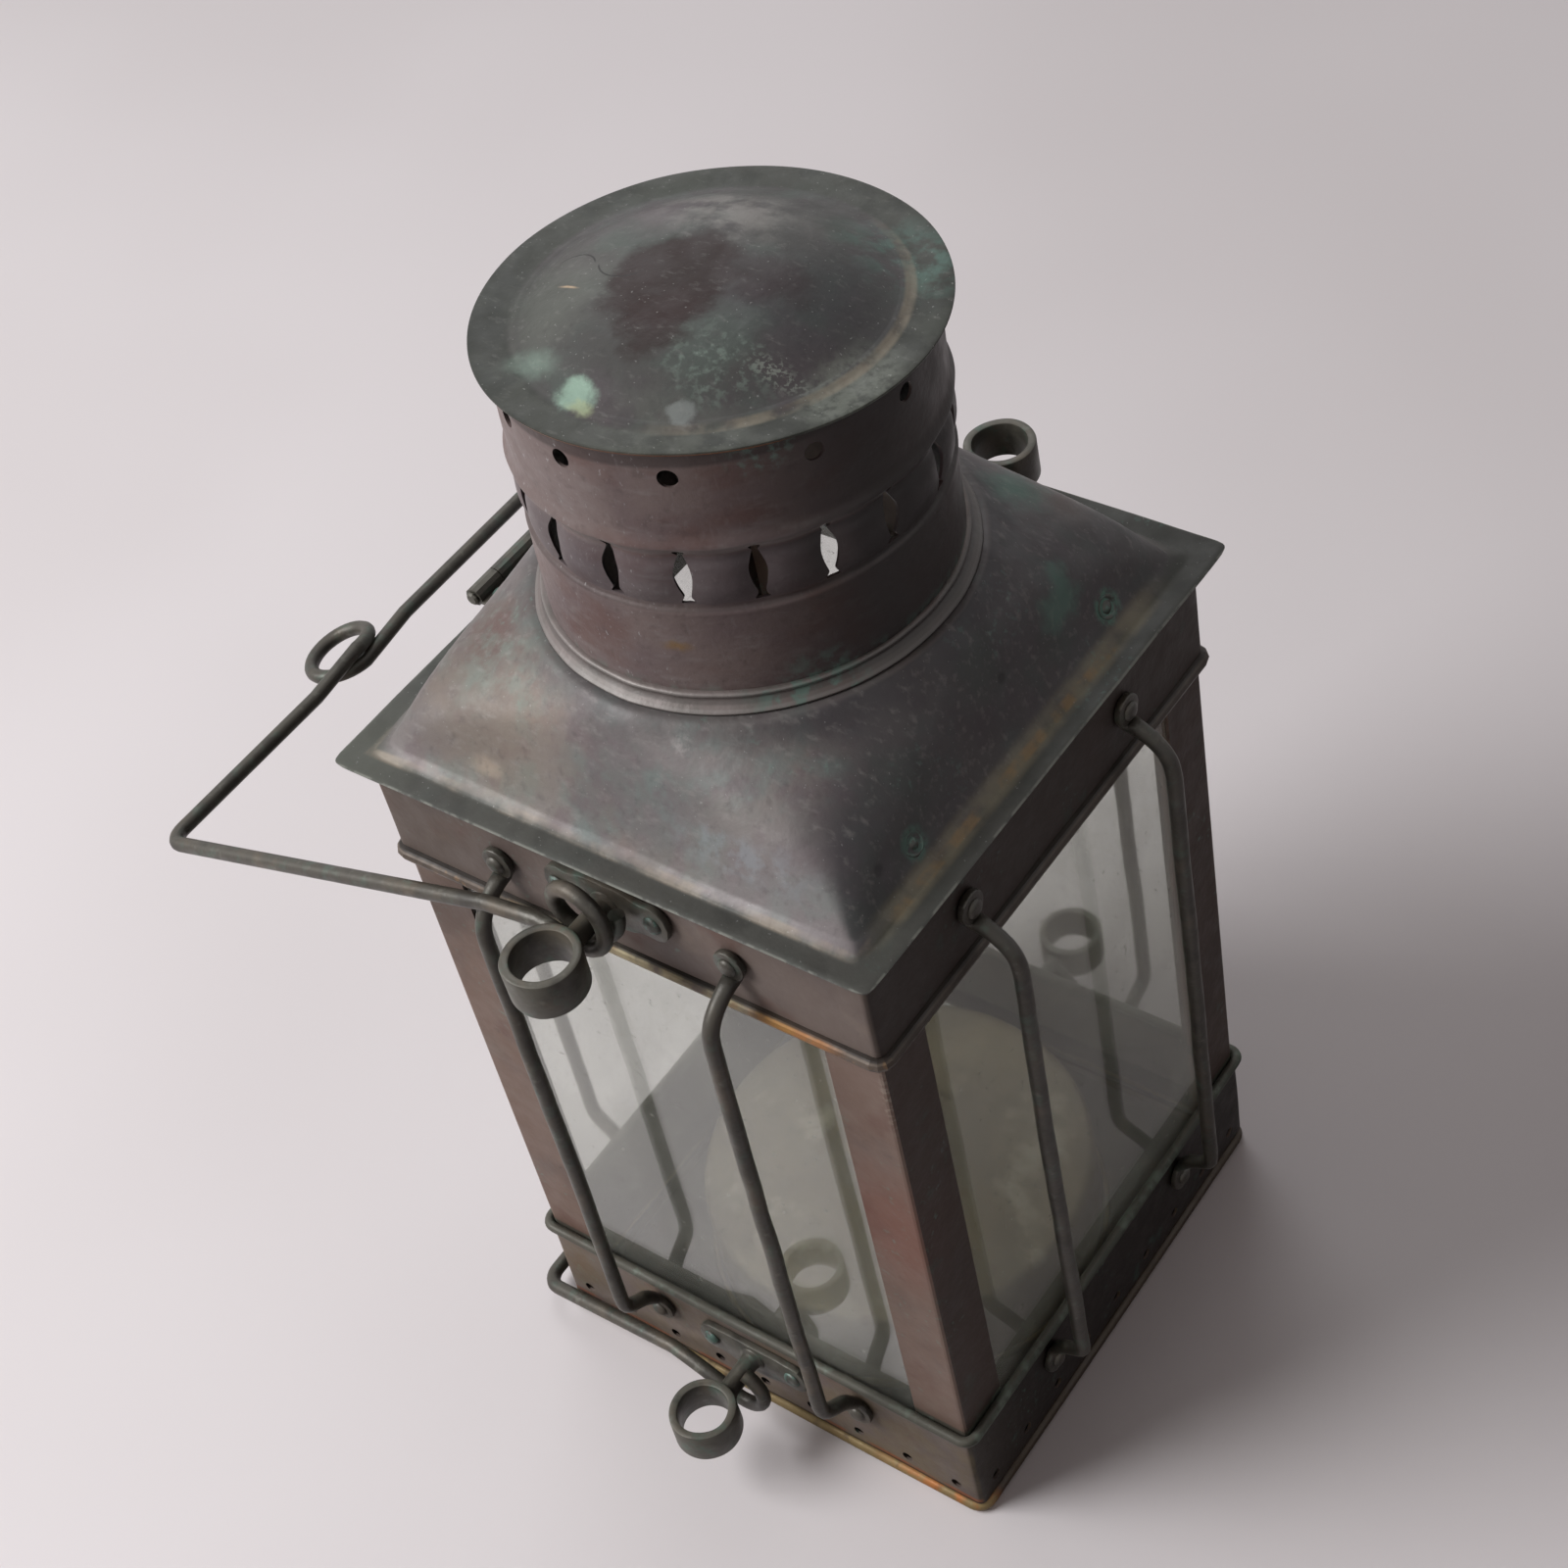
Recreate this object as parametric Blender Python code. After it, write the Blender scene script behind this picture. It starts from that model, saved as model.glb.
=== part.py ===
"""Four-sided copper ship's lantern with a hinged chimney roof, two wire bails and guide rings.

Metres, +Z up. The origin is the middle of the base's underside. The front, with its
guide rings, faces -Y, and the roof hinges on the -X side.
"""

from math import acos, asin, atan2, cos, degrees, hypot, pi, radians, sin, sqrt, tan

import bmesh
import bpy
from mathutils import Matrix, Vector

# --- fits ---------------------------------------------------------------------------
GAP = 0.0003                   # clearance between soldered or seated neighbours
BORE_PLAY = 0.00035            # radial play of a pin or rivet in its hole

# --- case ---------------------------------------------------------------------------
CASE_HALF = 0.0822             # corner posts, half the width over their outer faces
SHEET = 0.0009                 # sheet copper
CASE_CORNER_R = 0.0016         # bending radius of the bands and posts
RIM_HEIGHT = 0.0046            # rolled rim of the base pan
RIM_OVER = 0.0008              # rim stands out past the posts
RIM_WIDTH = 0.0036
PAN_FLOOR = 0.0010
LOWER_BAND_TOP = 0.0372        # centre of the wired edge of the lower band
WIRED_EDGE_R = 0.0021
RAIL_HEIGHT = 0.0048           # half-round rail under the upper band
RAIL_OVER = 0.0031
UPPER_BAND_BOTTOM = 0.2328
UPPER_BAND_HEIGHT = 0.0356
VENT_COUNT = 9
VENT_MARGIN = 0.0078           # last vent to the outside of the corner post
VENT_R = 0.0015
VENT_Z = 0.0113

# --- posts and panes ----------------------------------------------------------------
POST_LEG = 0.0190
POST_LIP = 0.0116              # inner lip that holds the pane in its slot
POST_DROP = 0.0064             # top of the posts below the top of the upper band
PANE_T = 0.0020
PANE_PLAY = 0.0004             # pane edge to the bottom of its slot
PANE_LAP = 0.0052              # pane reaches up behind the upper band

# --- roof ---------------------------------------------------------------------------
FLANGE_OVER = 0.0066           # flange past the bands
FLANGE_SQUARENESS = 60         # high, so that only the corners are rounded
DOME_INSET = 0.0002            # foot of the dome inside the posts' outer faces
DOME_RISE = 0.0361
SEAT_WIDTH = 0.0047            # flat seat of the chimney collar
ROOF_STEPS = 6
INNER_STEPS = (6, 4, 2, 1, 0)  # the inner face is plainer than the outer one
ROOF_SEGMENTS = 40

# --- chimney and cap ----------------------------------------------------------------
CHIMNEY_R = 0.0565
CHIMNEY_T = 0.0008
CHIMNEY_HEIGHT = 0.0807        # roof seat to cap
CHIMNEY_DIP = 0.0060           # length of tube below the roof seat
COLLAR_HEIGHT = 0.0050
COLLAR_FLARE = 0.0030
SLOT_COUNT = 19
SLOT_Z = 0.0435                # slot centre above the roof seat
SLOT_HALF_HEIGHT = 0.0080
SLOT_HALF_WIDTH = 0.0023
SLOT_PHASE = radians(-46.4)
HOLE_COUNT = 12
HOLE_R = 0.0026
HOLE_DROP = 0.0070             # hole centre below the cap
HOLE_PHASE = radians(-59.4)
SWAGE_RISE = 0.0012
CHIMNEY_SEGMENTS = 2 * SLOT_COUNT       # every slot lies in one facet
CAP_OVERHANG = 0.0030
CAP_RIM = 0.0112
CAP_DOME = 0.0125
CAP_SPIGOT = 0.0032
TURN_SEGMENTS = 36
SMALL_SEGMENTS = 24

# --- wire work ----------------------------------------------------------------------
WIRE_R = 0.0024
GUARD_SHARE = 0.4805           # guards stand this share of CASE_HALF to each side of a face's middle
GUARD_STANDOFF = 0.0148        # wire centre line to the bands
GUARD_TOP_DROP = 0.0042        # upper rivet below the top bail's axis
GUARD_FOOT_DROP = 0.0137       # lower rivet below the wired edge
GUARD_SHOULDER = 0.0098        # upper rivet down to the shoulder that the top bail rests on
GUARD_HEEL = 0.0215            # lower rivet up to the heel of the foot
EAR_R = 0.0050
EAR_T = 0.0023
HEAD_R = 0.0029
HEAD_RISE = 0.0015
RIVET_R = 0.0014
WIRE_SIDES = 8
GUARD_SIDES = 6
HEAD_SIDES = 8
RIVET_SIDES = 6

# --- guide brackets -----------------------------------------------------------------
RING_OUTER_R = 0.0111
RING_INNER_R = 0.0084
RING_HEIGHT = 0.0125
RING_REACH = 0.0280            # ring centre to the band
STUD_R = 0.00325
BRACKET_PLATE_T = 0.0023
BRACKET_RIVET_X = 0.0160
BRACKET_END = 0.0050           # plate past its rivets
BRACKET_PLATE_HALF = 0.0082
UPPER_PIVOT_UP = 0.0197        # top bail's axis above the lower edge of the upper band
LOWER_PIVOT_DOWN = 0.0084      # bottom bail's axis below the wired edge

# --- bails --------------------------------------------------------------------------
EYE_INNER_R = 0.0055
EYE_TURN_PITCH = 0.0050
TOP_BAIL_OUT = 0.1051          # crossbar past the left band, along the legs
TOP_EYE_OUT = 0.0131           # plane of the top bail's eyes and legs, past the bands
TOP_BAIL_REST = 0.0003         # leg to the guard that it rests on
TOP_BAIL_RISE = 0.0041         # legs lie this far above the studs' axis, square to the legs
CRANK_START = 0.0160           # the legs are cranked between these two distances from the axis
CRANK_END = 0.0360
TOP_LOOP_R = 0.0110
TOP_LOOP_SHIFT = -0.0050
BOTTOM_BAIL_OUT = 0.0142       # crossbar past the left band
BOTTOM_LEG_OUT = 0.0042        # legs past the bands at the crossbar
BOTTOM_EYE_OUT = 0.0111        # plane of the bottom bail's eyes, past the bands
BAIL_CORNER_R = 0.0065

# --- hinge and catch ----------------------------------------------------------------
HINGE_PIN_R = 0.0016
HINGE_KNUCKLE_R = 0.0029
HINGE_OUT = 0.0034             # pin centre past the flange
HINGE_HALF = 0.0216
HINGE_MIDDLE_HALF = 0.0114
LEAF_T = 0.0011
LEAF_LENGTH = 0.0235
LEAF_BEND_DROP = 0.0066        # fixed leaf turns outwards this far below the band's top
LEAF_BRIDGE = 0.0042           # width of the moving leaf between its knuckles
LEAF_CLEAR = 0.0010            # moving leaf to the foot of the dome
PIN_HEAD_T = 0.0010
HINGE_RIVET_SHARE = 0.63       # rivets of the fixed leaf, as a share of HINGE_MIDDLE_HALF
SPRING_SHARE = 0.578           # springs stand this share of CASE_HALF to each side of the middle
SPRING_WIDTH = 0.0100
SPRING_T = 0.0007
SPRING_DROP = 0.0190           # spring tip below the flange
SPRING_PLAY = 0.0010           # crest of the spring to the upper band

# --- oil font -----------------------------------------------------------------------
FONT_CLEAR = 0.0172            # oil font inside the posts' outer faces
FONT_WALL = 0.0008             # tinplate
FONT_SIDE = 0.0340
FONT_CROWN = 0.0500
FONT_EDGE_R = 0.0035
NECK_R = 0.0140
NECK_HEIGHT = 0.0030
FONT_RING_T = 0.0018
FONT_RING_HEIGHT = 0.0028
BURNER_R = 0.0170
BURNER_HEIGHT = 0.0080
WICK_TUBE = (0.0260, 0.0060, 0.0170)
WICK = (0.0222, 0.0028, 0.0200)

# --- worked out from the sizes above ---------------------------------------------------
BAND_IN = CASE_HALF + GAP
BAND_OUT = BAND_IN + SHEET
CORNER = CASE_HALF - CASE_CORNER_R      # centre of every rounded corner
BAND_BOTTOM = RIM_HEIGHT + GAP
UPPER_BAND_TOP = UPPER_BAND_BOTTOM + UPPER_BAND_HEIGHT
PANE_TOP = UPPER_BAND_BOTTOM + PANE_LAP
POST_TOP = UPPER_BAND_TOP - POST_DROP
UPPER_PIVOT_Z = UPPER_BAND_BOTTOM + UPPER_PIVOT_UP
LOWER_PIVOT_Z = LOWER_BAND_TOP - LOWER_PIVOT_DOWN
GUARD_TOP_Z = UPPER_PIVOT_Z - GUARD_TOP_DROP
GUARD_FOOT_Z = LOWER_BAND_TOP - GUARD_FOOT_DROP
VENT_PITCH = 2 * (CASE_HALF - VENT_MARGIN) / (VENT_COUNT - 1)
FLANGE_HALF = BAND_OUT + FLANGE_OVER
DOME_BASE_HALF = CASE_HALF - DOME_INSET
SEAT_R = CHIMNEY_R + SEAT_WIDTH
FLANGE_Z = UPPER_BAND_TOP + GAP         # underside of the roof flange
DOME_Z = FLANGE_Z + SHEET
SEAT_Z = DOME_Z + DOME_RISE
CAP_Z = SEAT_Z + CHIMNEY_HEIGHT         # underside of the cap
PANE_OUT = CASE_HALF - SHEET - GAP
EAR_FACE = BAND_OUT + GAP
STUD_TIP = BAND_OUT + RING_REACH - RING_OUTER_R
HINGE_RIVET_Y = HINGE_MIDDLE_HALF * HINGE_RIVET_SHARE
LID_RIVET_Y = (HINGE_MIDDLE_HALF + HINGE_HALF) / 2
GUARD_HALF_PITCH = CASE_HALF * GUARD_SHARE
SPRING_Y = CASE_HALF * SPRING_SHARE
FONT_R = CASE_HALF - FONT_CLEAR
EYE_R = EYE_INNER_R + WIRE_R
EYE_SHIFT = EYE_INNER_R - STUD_R - GAP  # the eye rests on one side of its stud
HINGE_X = -(FLANGE_HALF + HINGE_OUT)
HINGE_Z = FLANGE_Z + HINGE_KNUCKLE_R
TOP_BAIL_REACH = BAND_OUT + TOP_BAIL_OUT
TOP_BAIL_HALF = BAND_OUT + TOP_EYE_OUT
BOTTOM_BAIL_REACH = BAND_OUT + BOTTOM_BAIL_OUT
BOTTOM_BAIL_HALF = BAND_OUT + BOTTOM_LEG_OUT
BOTTOM_EYE_HALF = BAND_OUT + BOTTOM_EYE_OUT
REST_DROP = UPPER_PIVOT_Z - GUARD_TOP_Z + GUARD_SHOULDER    # bail axis to the guard's shoulder
TOP_BAIL_DROP = (atan2(REST_DROP, GUARD_HALF_PITCH)         # below level, at rest on the guards
                 - asin((2 * WIRE_R + TOP_BAIL_REST - TOP_BAIL_RISE)
                        / hypot(REST_DROP, GUARD_HALF_PITCH)))

COPPER = (0.30, 0.19, 0.155)
DARK_COPPER = (0.20, 0.17, 0.15)
CLEAN_COPPER = (0.62, 0.33, 0.14)
BRASS = (0.17, 0.16, 0.125)
GLASS = (0.72, 0.76, 0.70)
TINPLATE = (0.50, 0.48, 0.43)
COTTON = (0.75, 0.70, 0.58)


# --- scene and materials ------------------------------------------------------------
def clear_scene():
    for item in list(bpy.data.objects):
        bpy.data.objects.remove(item, do_unlink=True)


def finish(name, colour, metallic=1.0, roughness=0.45):
    material = bpy.data.materials.new(name)
    material.use_nodes = True
    shader = material.node_tree.nodes["Principled BSDF"]
    shader.inputs["Base Color"].default_value = (*colour, 1.0)
    shader.inputs["Metallic"].default_value = metallic
    shader.inputs["Roughness"].default_value = roughness
    return material


def new_object(name, mesh, place=None):
    item = bpy.data.objects.new(name, mesh)
    bpy.context.scene.collection.objects.link(item)
    if place is not None:
        item.matrix_world = place
    return item


def part(name, mesh, colour, place=None, metallic=1.0, roughness=0.45, round_piece=True):
    """A finished sub-part: its own mesh, its own material, smooth where it is round."""
    own = mesh.copy()
    own.name = name
    own.materials.clear()
    own.materials.append(finish(name, colour, metallic, roughness))
    if round_piece:
        own.shade_smooth()
        own.set_sharp_from_angle(angle=radians(40))
    return new_object(name, own, place)


# --- mesh builders ------------------------------------------------------------------
def to_mesh(bm, name):
    bmesh.ops.remove_doubles(bm, verts=bm.verts, dist=1e-7)
    bmesh.ops.recalc_face_normals(bm, faces=bm.faces)
    mesh = bpy.data.meshes.new(name)
    bm.to_mesh(mesh)
    bm.free()
    return mesh


def skin(name, stations, wrap):
    """Joins like outlines in order. Wrapped, they close on themselves; if not, the ends are capped."""
    bm = bmesh.new()
    rows = [[bm.verts.new(point) for point in station] for station in stations]
    count = len(rows[0])
    last = len(rows) if wrap else len(rows) - 1
    for i in range(last):
        near = rows[i]
        far = rows[(i + 1) % len(rows)]
        for j in range(count):
            k = (j + 1) % count
            bm.faces.new((near[j], near[k], far[k], far[j]))
    if not wrap:
        bm.faces.new(reversed(rows[0]))
        bm.faces.new(rows[-1])
    return to_mesh(bm, name)


def turned(name, profile, segments=TURN_SEGMENTS, phase=0.0):
    """Turns a closed (radius, height) outline about Z. Points on the axis become poles."""
    bm = bmesh.new()
    rows = []
    for i in range(segments):
        a = phase + 2 * pi * i / segments
        rows.append([bm.verts.new((r * cos(a), r * sin(a), z)) for r, z in profile])
    for i in range(segments):
        near = rows[i]
        far = rows[(i + 1) % segments]
        for j in range(len(profile)):
            k = (j + 1) % len(profile)
            if profile[j][0] == 0 and profile[k][0] == 0:
                continue
            bm.faces.new((near[j], near[k], far[k], far[j]))
    bmesh.ops.remove_doubles(bm, verts=bm.verts, dist=1e-7)
    return to_mesh(bm, name)


def extruded(name, outline, low, high):
    """A flat (x, y) outline, from low to high along Z."""
    return skin(name, [[(x, y, z) for x, y in outline] for z in (low, high)], wrap=False)


def square_swept(name, profile, corner_steps=3):
    """Carries a closed (half width, height) outline round the square case."""
    stations = []
    for quarter in range(4):
        for step in range(corner_steps + 1):
            a = pi / 2 * (quarter + step / corner_steps)
            side = pi / 2 * quarter + pi / 4
            cx = sqrt(2) * CORNER * cos(side)
            cy = sqrt(2) * CORNER * sin(side)
            ring = [(cx + (o - CORNER) * cos(a), cy + (o - CORNER) * sin(a), z) for o, z in profile]
            stations.append(ring)
    return skin(name, stations, wrap=True)


def wire(name, path, radii, sides=WIRE_SIDES):
    """Round wire along a 3D path, its section carried along without twist."""
    points = [Vector(p) for p in path]
    last = len(points) - 1
    tangents = []
    for i in range(len(points)):
        before = points[max(i - 1, 0)]
        after = points[min(i + 1, last)]
        tangents.append((after - before).normalized())
    across = tangents[0].orthogonal().normalized()
    stations = []
    for i, point in enumerate(points):
        across = (across - tangents[i] * across.dot(tangents[i])).normalized()
        up = tangents[i].cross(across)
        r = radii[i] if isinstance(radii, list) else radii
        ring = []
        for s in range(sides):
            a = 2 * pi * s / sides
            ring.append(point + r * (cos(a) * across + sin(a) * up))
        stations.append(ring)
    return skin(name, stations, wrap=False)


def arc(cx, cy, r, start, end, steps):
    """Points on an arc in degrees, both ends included."""
    span = [radians(start + (end - start) * i / steps) for i in range(steps + 1)]
    return [(cx + r * cos(a), cy + r * sin(a)) for a in span]


def round_corner(path, index, radius, steps=4):
    """Puts an arc in place of one corner of a path."""
    corner = Vector(path[index])
    one = (Vector(path[index - 1]) - corner).normalized()
    two = (Vector(path[index + 1]) - corner).normalized()
    half = one.angle(two) / 2
    bisector = (one + two).normalized()
    centre = corner + bisector * radius / sin(half)
    start = corner + one * radius / tan(half) - centre
    end = corner + two * radius / tan(half) - centre
    bend = [centre + radius * start.normalized().slerp(end.normalized(), i / steps)
            for i in range(steps + 1)]
    return list(path[:index]) + bend + list(path[index + 1:])


def pins(name, places, radius, length, sides=12):
    """Separate round bars for cutting or joining. A place is (centre, direction)."""
    bm = bmesh.new()
    for centre, direction in places:
        turn = Vector((0, 0, 1)).rotation_difference(Vector(direction)).to_matrix().to_4x4()
        place = Matrix.Translation(centre) @ turn
        bmesh.ops.create_cone(bm, cap_ends=True, segments=sides, radius1=radius,
                              radius2=radius, depth=length, matrix=place)
    return to_mesh(bm, name)


def combined(name, base, steps):
    """Joins or cuts base with each (operation, mesh) in turn and keeps the result as one mesh."""
    item = new_object(name, base)
    tools = []
    for operation, mesh in steps:
        tool = new_object(f"{name}_tool", mesh)
        tool.hide_render = True
        tool.display_type = "WIRE"
        modifier = item.modifiers.new(operation.lower(), "BOOLEAN")
        modifier.operation = operation
        modifier.object = tool
        tools.append(tool)
    graph = bpy.context.evaluated_depsgraph_get()
    mesh = bpy.data.meshes.new_from_object(item.evaluated_get(graph))
    for leftover in [item, *tools]:
        bpy.data.objects.remove(leftover, do_unlink=True)
    return mesh


# --- case ---------------------------------------------------------------------------
def base_pan():
    """Shallow tray: a flat floor inside a rolled rim, which the whole case stands on."""
    out = CASE_HALF + RIM_OVER
    roll = RIM_HEIGHT / 2
    inner = out - RIM_WIDTH
    profile = [(inner - roll, 0.0)]
    profile += arc(out - roll, roll, roll, -90, 90, 6)
    profile += [(inner, RIM_HEIGHT), (inner - SHEET, PAN_FLOOR)]
    loops = []
    for o, z in profile:
        loop = []
        for quarter in range(4):
            side = pi / 2 * quarter + pi / 4
            for step in range(4):
                a = pi / 2 * (quarter + step / 3)
                r = max(o - CORNER, 0.0002)
                c = sqrt(2) * min(CORNER, o - r)
                loop.append((c * cos(side) + r * cos(a), c * sin(side) + r * sin(a), z))
        loops.append(loop)
    part("base_pan", skin("base_pan", loops, wrap=False), CLEAN_COPPER)


def vent_places():
    places = []
    for side in range(4):
        turn = Matrix.Rotation(pi / 2 * side, 3, "Z")
        for i in range(VENT_COUNT):
            along = (i - (VENT_COUNT - 1) / 2) * VENT_PITCH
            places.append((turn @ Vector((along, -BAND_OUT, VENT_Z)), turn @ Vector((0, 1, 0))))
    return places


def bracket_rivet_places(z):
    """Centres of the rivet holes through a band, front and back."""
    return [((x, y, z), (0, 1, 0)) for x in (-BRACKET_RIVET_X, BRACKET_RIVET_X)
            for y in (-BAND_OUT, BAND_OUT)]


def lower_band():
    """Square band round the feet of the posts, with a wired upper edge and vents."""
    edge = BAND_IN + WIRED_EDGE_R + GAP / 3
    meet = degrees(asin((BAND_OUT - edge) / WIRED_EDGE_R)) - 90
    profile = [(BAND_IN, BAND_BOTTOM), (BAND_OUT, BAND_BOTTOM)]
    profile += arc(edge, LOWER_BAND_TOP, WIRED_EDGE_R, meet, 165, 6)
    profile += [(BAND_IN, LOWER_BAND_TOP)]
    depth = 4 * SHEET
    vents = pins("vents", vent_places(), VENT_R, depth, 6)
    holes = pins("holes", bracket_rivet_places(LOWER_PIVOT_Z), RIVET_R + BORE_PLAY, depth, 8)
    mesh = combined("lower_band", square_swept("lower_band", profile),
                    [("DIFFERENCE", vents), ("DIFFERENCE", holes)])
    part("lower_band", mesh, COPPER)


def upper_band():
    """Square band round the tops of the posts, under the roof flange."""
    profile = [(BAND_IN, UPPER_BAND_BOTTOM), (BAND_OUT, UPPER_BAND_BOTTOM),
               (BAND_OUT, UPPER_BAND_TOP), (BAND_IN, UPPER_BAND_TOP)]
    places = bracket_rivet_places(UPPER_PIVOT_Z) + hinge_rivet_places()
    holes = pins("holes", places, RIVET_R + BORE_PLAY, 4 * SHEET, 8)
    mesh = combined("upper_band", square_swept("upper_band", profile), [("DIFFERENCE", holes)])
    part("upper_band", mesh, COPPER)


def upper_rail():
    """Half-round rail that closes the gap between the upper band and the panes."""
    top = UPPER_BAND_BOTTOM - GAP
    middle = top - RAIL_HEIGHT / 2
    bulge = RAIL_OVER - SHEET / 2
    flat = BAND_IN + SHEET / 2
    profile = [(BAND_IN, top - RAIL_HEIGHT)]
    for i in range(7):
        a = radians(-90 + 30 * i)
        profile.append((flat + bulge * cos(a), middle + RAIL_HEIGHT / 2 * sin(a)))
    profile.append((BAND_IN, top))
    part("upper_rail", square_swept("upper_rail", profile), CLEAN_COPPER)


def corner_posts():
    """Folded corner posts. Each has an outer angle and two inner lips that make the pane slots."""
    slot = PANE_T + 2 * GAP
    back = CASE_HALF - SHEET - slot          # inner side of the slot
    lip = back - SHEET * 0.8
    stop = CASE_HALF - SHEET - slot - SHEET  # bottom of the slot
    end = CASE_HALF - POST_LEG
    half = [(CASE_HALF - SHEET, end), (CASE_HALF - SHEET, stop), (back, stop),
            (back, stop - POST_LIP), (lip, stop - POST_LIP)]
    outline = [(CASE_HALF, end)] + half + [(lip, lip)]
    outline += [(y, x) for x, y in reversed(half)] + [(end, CASE_HALF)]
    outline += arc(CORNER, CORNER, CASE_CORNER_R, 90, 0, 3)
    mesh = extruded("corner_post", outline, BAND_BOTTOM, POST_TOP)
    for name, quarter in (("back_right", 0), ("back_left", 1), ("front_left", 2), ("front_right", 3)):
        turn = Matrix.Rotation(pi / 2 * quarter, 4, "Z")
        part(f"corner_post_{name}", mesh, COPPER, turn, round_piece=False)


def glass_panes():
    stop = CASE_HALF - SHEET - (PANE_T + 2 * GAP) - SHEET
    half = stop - PANE_PLAY
    outline = [(-half, -PANE_OUT), (half, -PANE_OUT),
               (half, -PANE_OUT + PANE_T), (-half, -PANE_OUT + PANE_T)]
    mesh = extruded("glass", outline, BAND_BOTTOM, PANE_TOP)
    for quarter, name in enumerate(("front", "right", "back", "left")):
        turn = Matrix.Rotation(pi / 2 * quarter, 4, "Z")
        part(f"glass_{name}", mesh, GLASS, turn, metallic=0.0, roughness=0.08, round_piece=False)


# --- wire guards ----------------------------------------------------------------------
def button(centre_z, face):
    """Flattened wire end with the domed head of its rivet, standing out along -Y."""
    profile = [(0, 0), (EAR_R, 0), (EAR_R, EAR_T * 0.8), (HEAD_R, EAR_T)]
    profile += [(HEAD_R * 0.7, EAR_T + HEAD_RISE), (0, EAR_T + HEAD_RISE)]
    mesh = turned("button", profile, HEAD_SIDES)
    mesh.transform(Matrix.Translation((0, -face, centre_z)) @ Matrix.Rotation(pi / 2, 4, "X"))
    return mesh


def guard_path():
    """Centre line and radius of one guard: flattened end, shoulder, straight run, heel, foot."""
    thin = EAR_T / 2
    near = EAR_FACE + thin
    out = BAND_OUT + GUARD_STANDOFF
    edge = BAND_IN + 2 * WIRED_EDGE_R + thin + 2 * GAP    # just clear of the wired edge
    top = GUARD_TOP_Z
    shoulder = top - GUARD_SHOULDER
    foot = GUARD_FOOT_Z
    heel = foot + GUARD_HEEL
    return [
        (near, top - EAR_R * 0.3, thin * 0.95),
        (near + thin, top - EAR_R * 1.05, thin * 1.4),
        (near + 3 * WIRE_R, shoulder + WIRE_R * 1.1, WIRE_R),
        (out - WIRE_R, shoulder, WIRE_R),
        (out, shoulder - WIRE_R * 3, WIRE_R),
        (out, heel + WIRE_R * 0.3, WIRE_R),
        (edge + WIRE_R, heel - WIRE_R * 1.6, WIRE_R * 0.85),
        (edge, heel - WIRE_R * 3, thin * 1.2),
        (edge, LOWER_BAND_TOP - WIRED_EDGE_R, thin),
        (near + thin / 2, foot + EAR_R, thin),
        (near, foot + EAR_R * 0.3, thin * 0.95),
    ]


def guard_wires():
    path = [(0, -out, z) for out, z, _ in guard_path()]
    radii = [r for _, _, r in guard_path()]
    mesh = combined("guard", wire("guard", path, radii, GUARD_SIDES),
                    [("UNION", button(GUARD_TOP_Z, EAR_FACE)),
                     ("UNION", button(GUARD_FOOT_Z, EAR_FACE))])
    for quarter, face in enumerate(("front", "right", "back", "left")):
        turn = Matrix.Rotation(pi / 2 * quarter, 4, "Z")
        for number, shift in ((1, -GUARD_HALF_PITCH), (2, GUARD_HALF_PITCH)):
            place = turn @ Matrix.Translation((shift, 0, 0))
            part(f"guard_{face}_{number}", mesh, BRASS, place)


# --- guide brackets --------------------------------------------------------------------
def bracket_mesh(name, plate_top):
    """Riveted plate, stud and upright guide ring, on the front face with the stud at z = 0."""
    shoulder = BRACKET_RIVET_X / 2
    ends = arc(BRACKET_RIVET_X, 0, BRACKET_END, -70, 70, 3)
    right = [(shoulder, -BRACKET_PLATE_HALF)] + ends + [(shoulder, BRACKET_PLATE_HALF)]
    right = [(x, min(z, plate_top)) for x, z in right]
    outline = right + [(-x, z) for x, z in reversed(right)]
    back = -EAR_FACE
    plate = skin(name, [[(x, back, z) for x, z in outline],
                        [(x, back - BRACKET_PLATE_T, z) for x, z in outline]], wrap=False)
    centre = -(BAND_OUT + RING_REACH)
    wall = (RING_OUTER_R - RING_INNER_R) / 2
    stud_end = STUD_TIP + wall
    stud_start = EAR_FACE + BRACKET_PLATE_T / 2
    stud = pins("stud", [((0, -(stud_start + stud_end) / 2, 0), (0, 1, 0))],
                STUD_R, stud_end - stud_start, 10)
    ring = pins("ring", [((0, centre, 0), (0, 0, 1))], RING_OUTER_R, RING_HEIGHT, 16)
    bore = pins("bore", [((0, centre, 0), (0, 0, 1))], RING_INNER_R, 2 * RING_HEIGHT, 16)
    holes = pins("holes", [((x, back, 0), (0, 1, 0)) for x in (-BRACKET_RIVET_X, BRACKET_RIVET_X)],
                 RIVET_R + BORE_PLAY, 4 * BRACKET_PLATE_T, 8)
    return combined(name, plate, [("UNION", stud), ("UNION", ring), ("DIFFERENCE", bore),
                                  ("DIFFERENCE", holes)])


def rivet_mesh(name, grip):
    """Rivet along -Y from y = 0: tail inside, shank through the grip, domed head outside."""
    profile = [(0, -GAP - SHEET), (HEAD_R * 0.8, -GAP), (RIVET_R, -GAP),
               (RIVET_R, grip + GAP / 2), (HEAD_R, grip + GAP / 2)]
    profile += [(HEAD_R * 0.72, grip + GAP / 2 + HEAD_RISE * 0.75), (0, grip + GAP / 2 + HEAD_RISE)]
    mesh = turned(name, profile, RIVET_SIDES)
    mesh.transform(Matrix.Rotation(pi / 2, 4, "X"))
    return mesh


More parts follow.
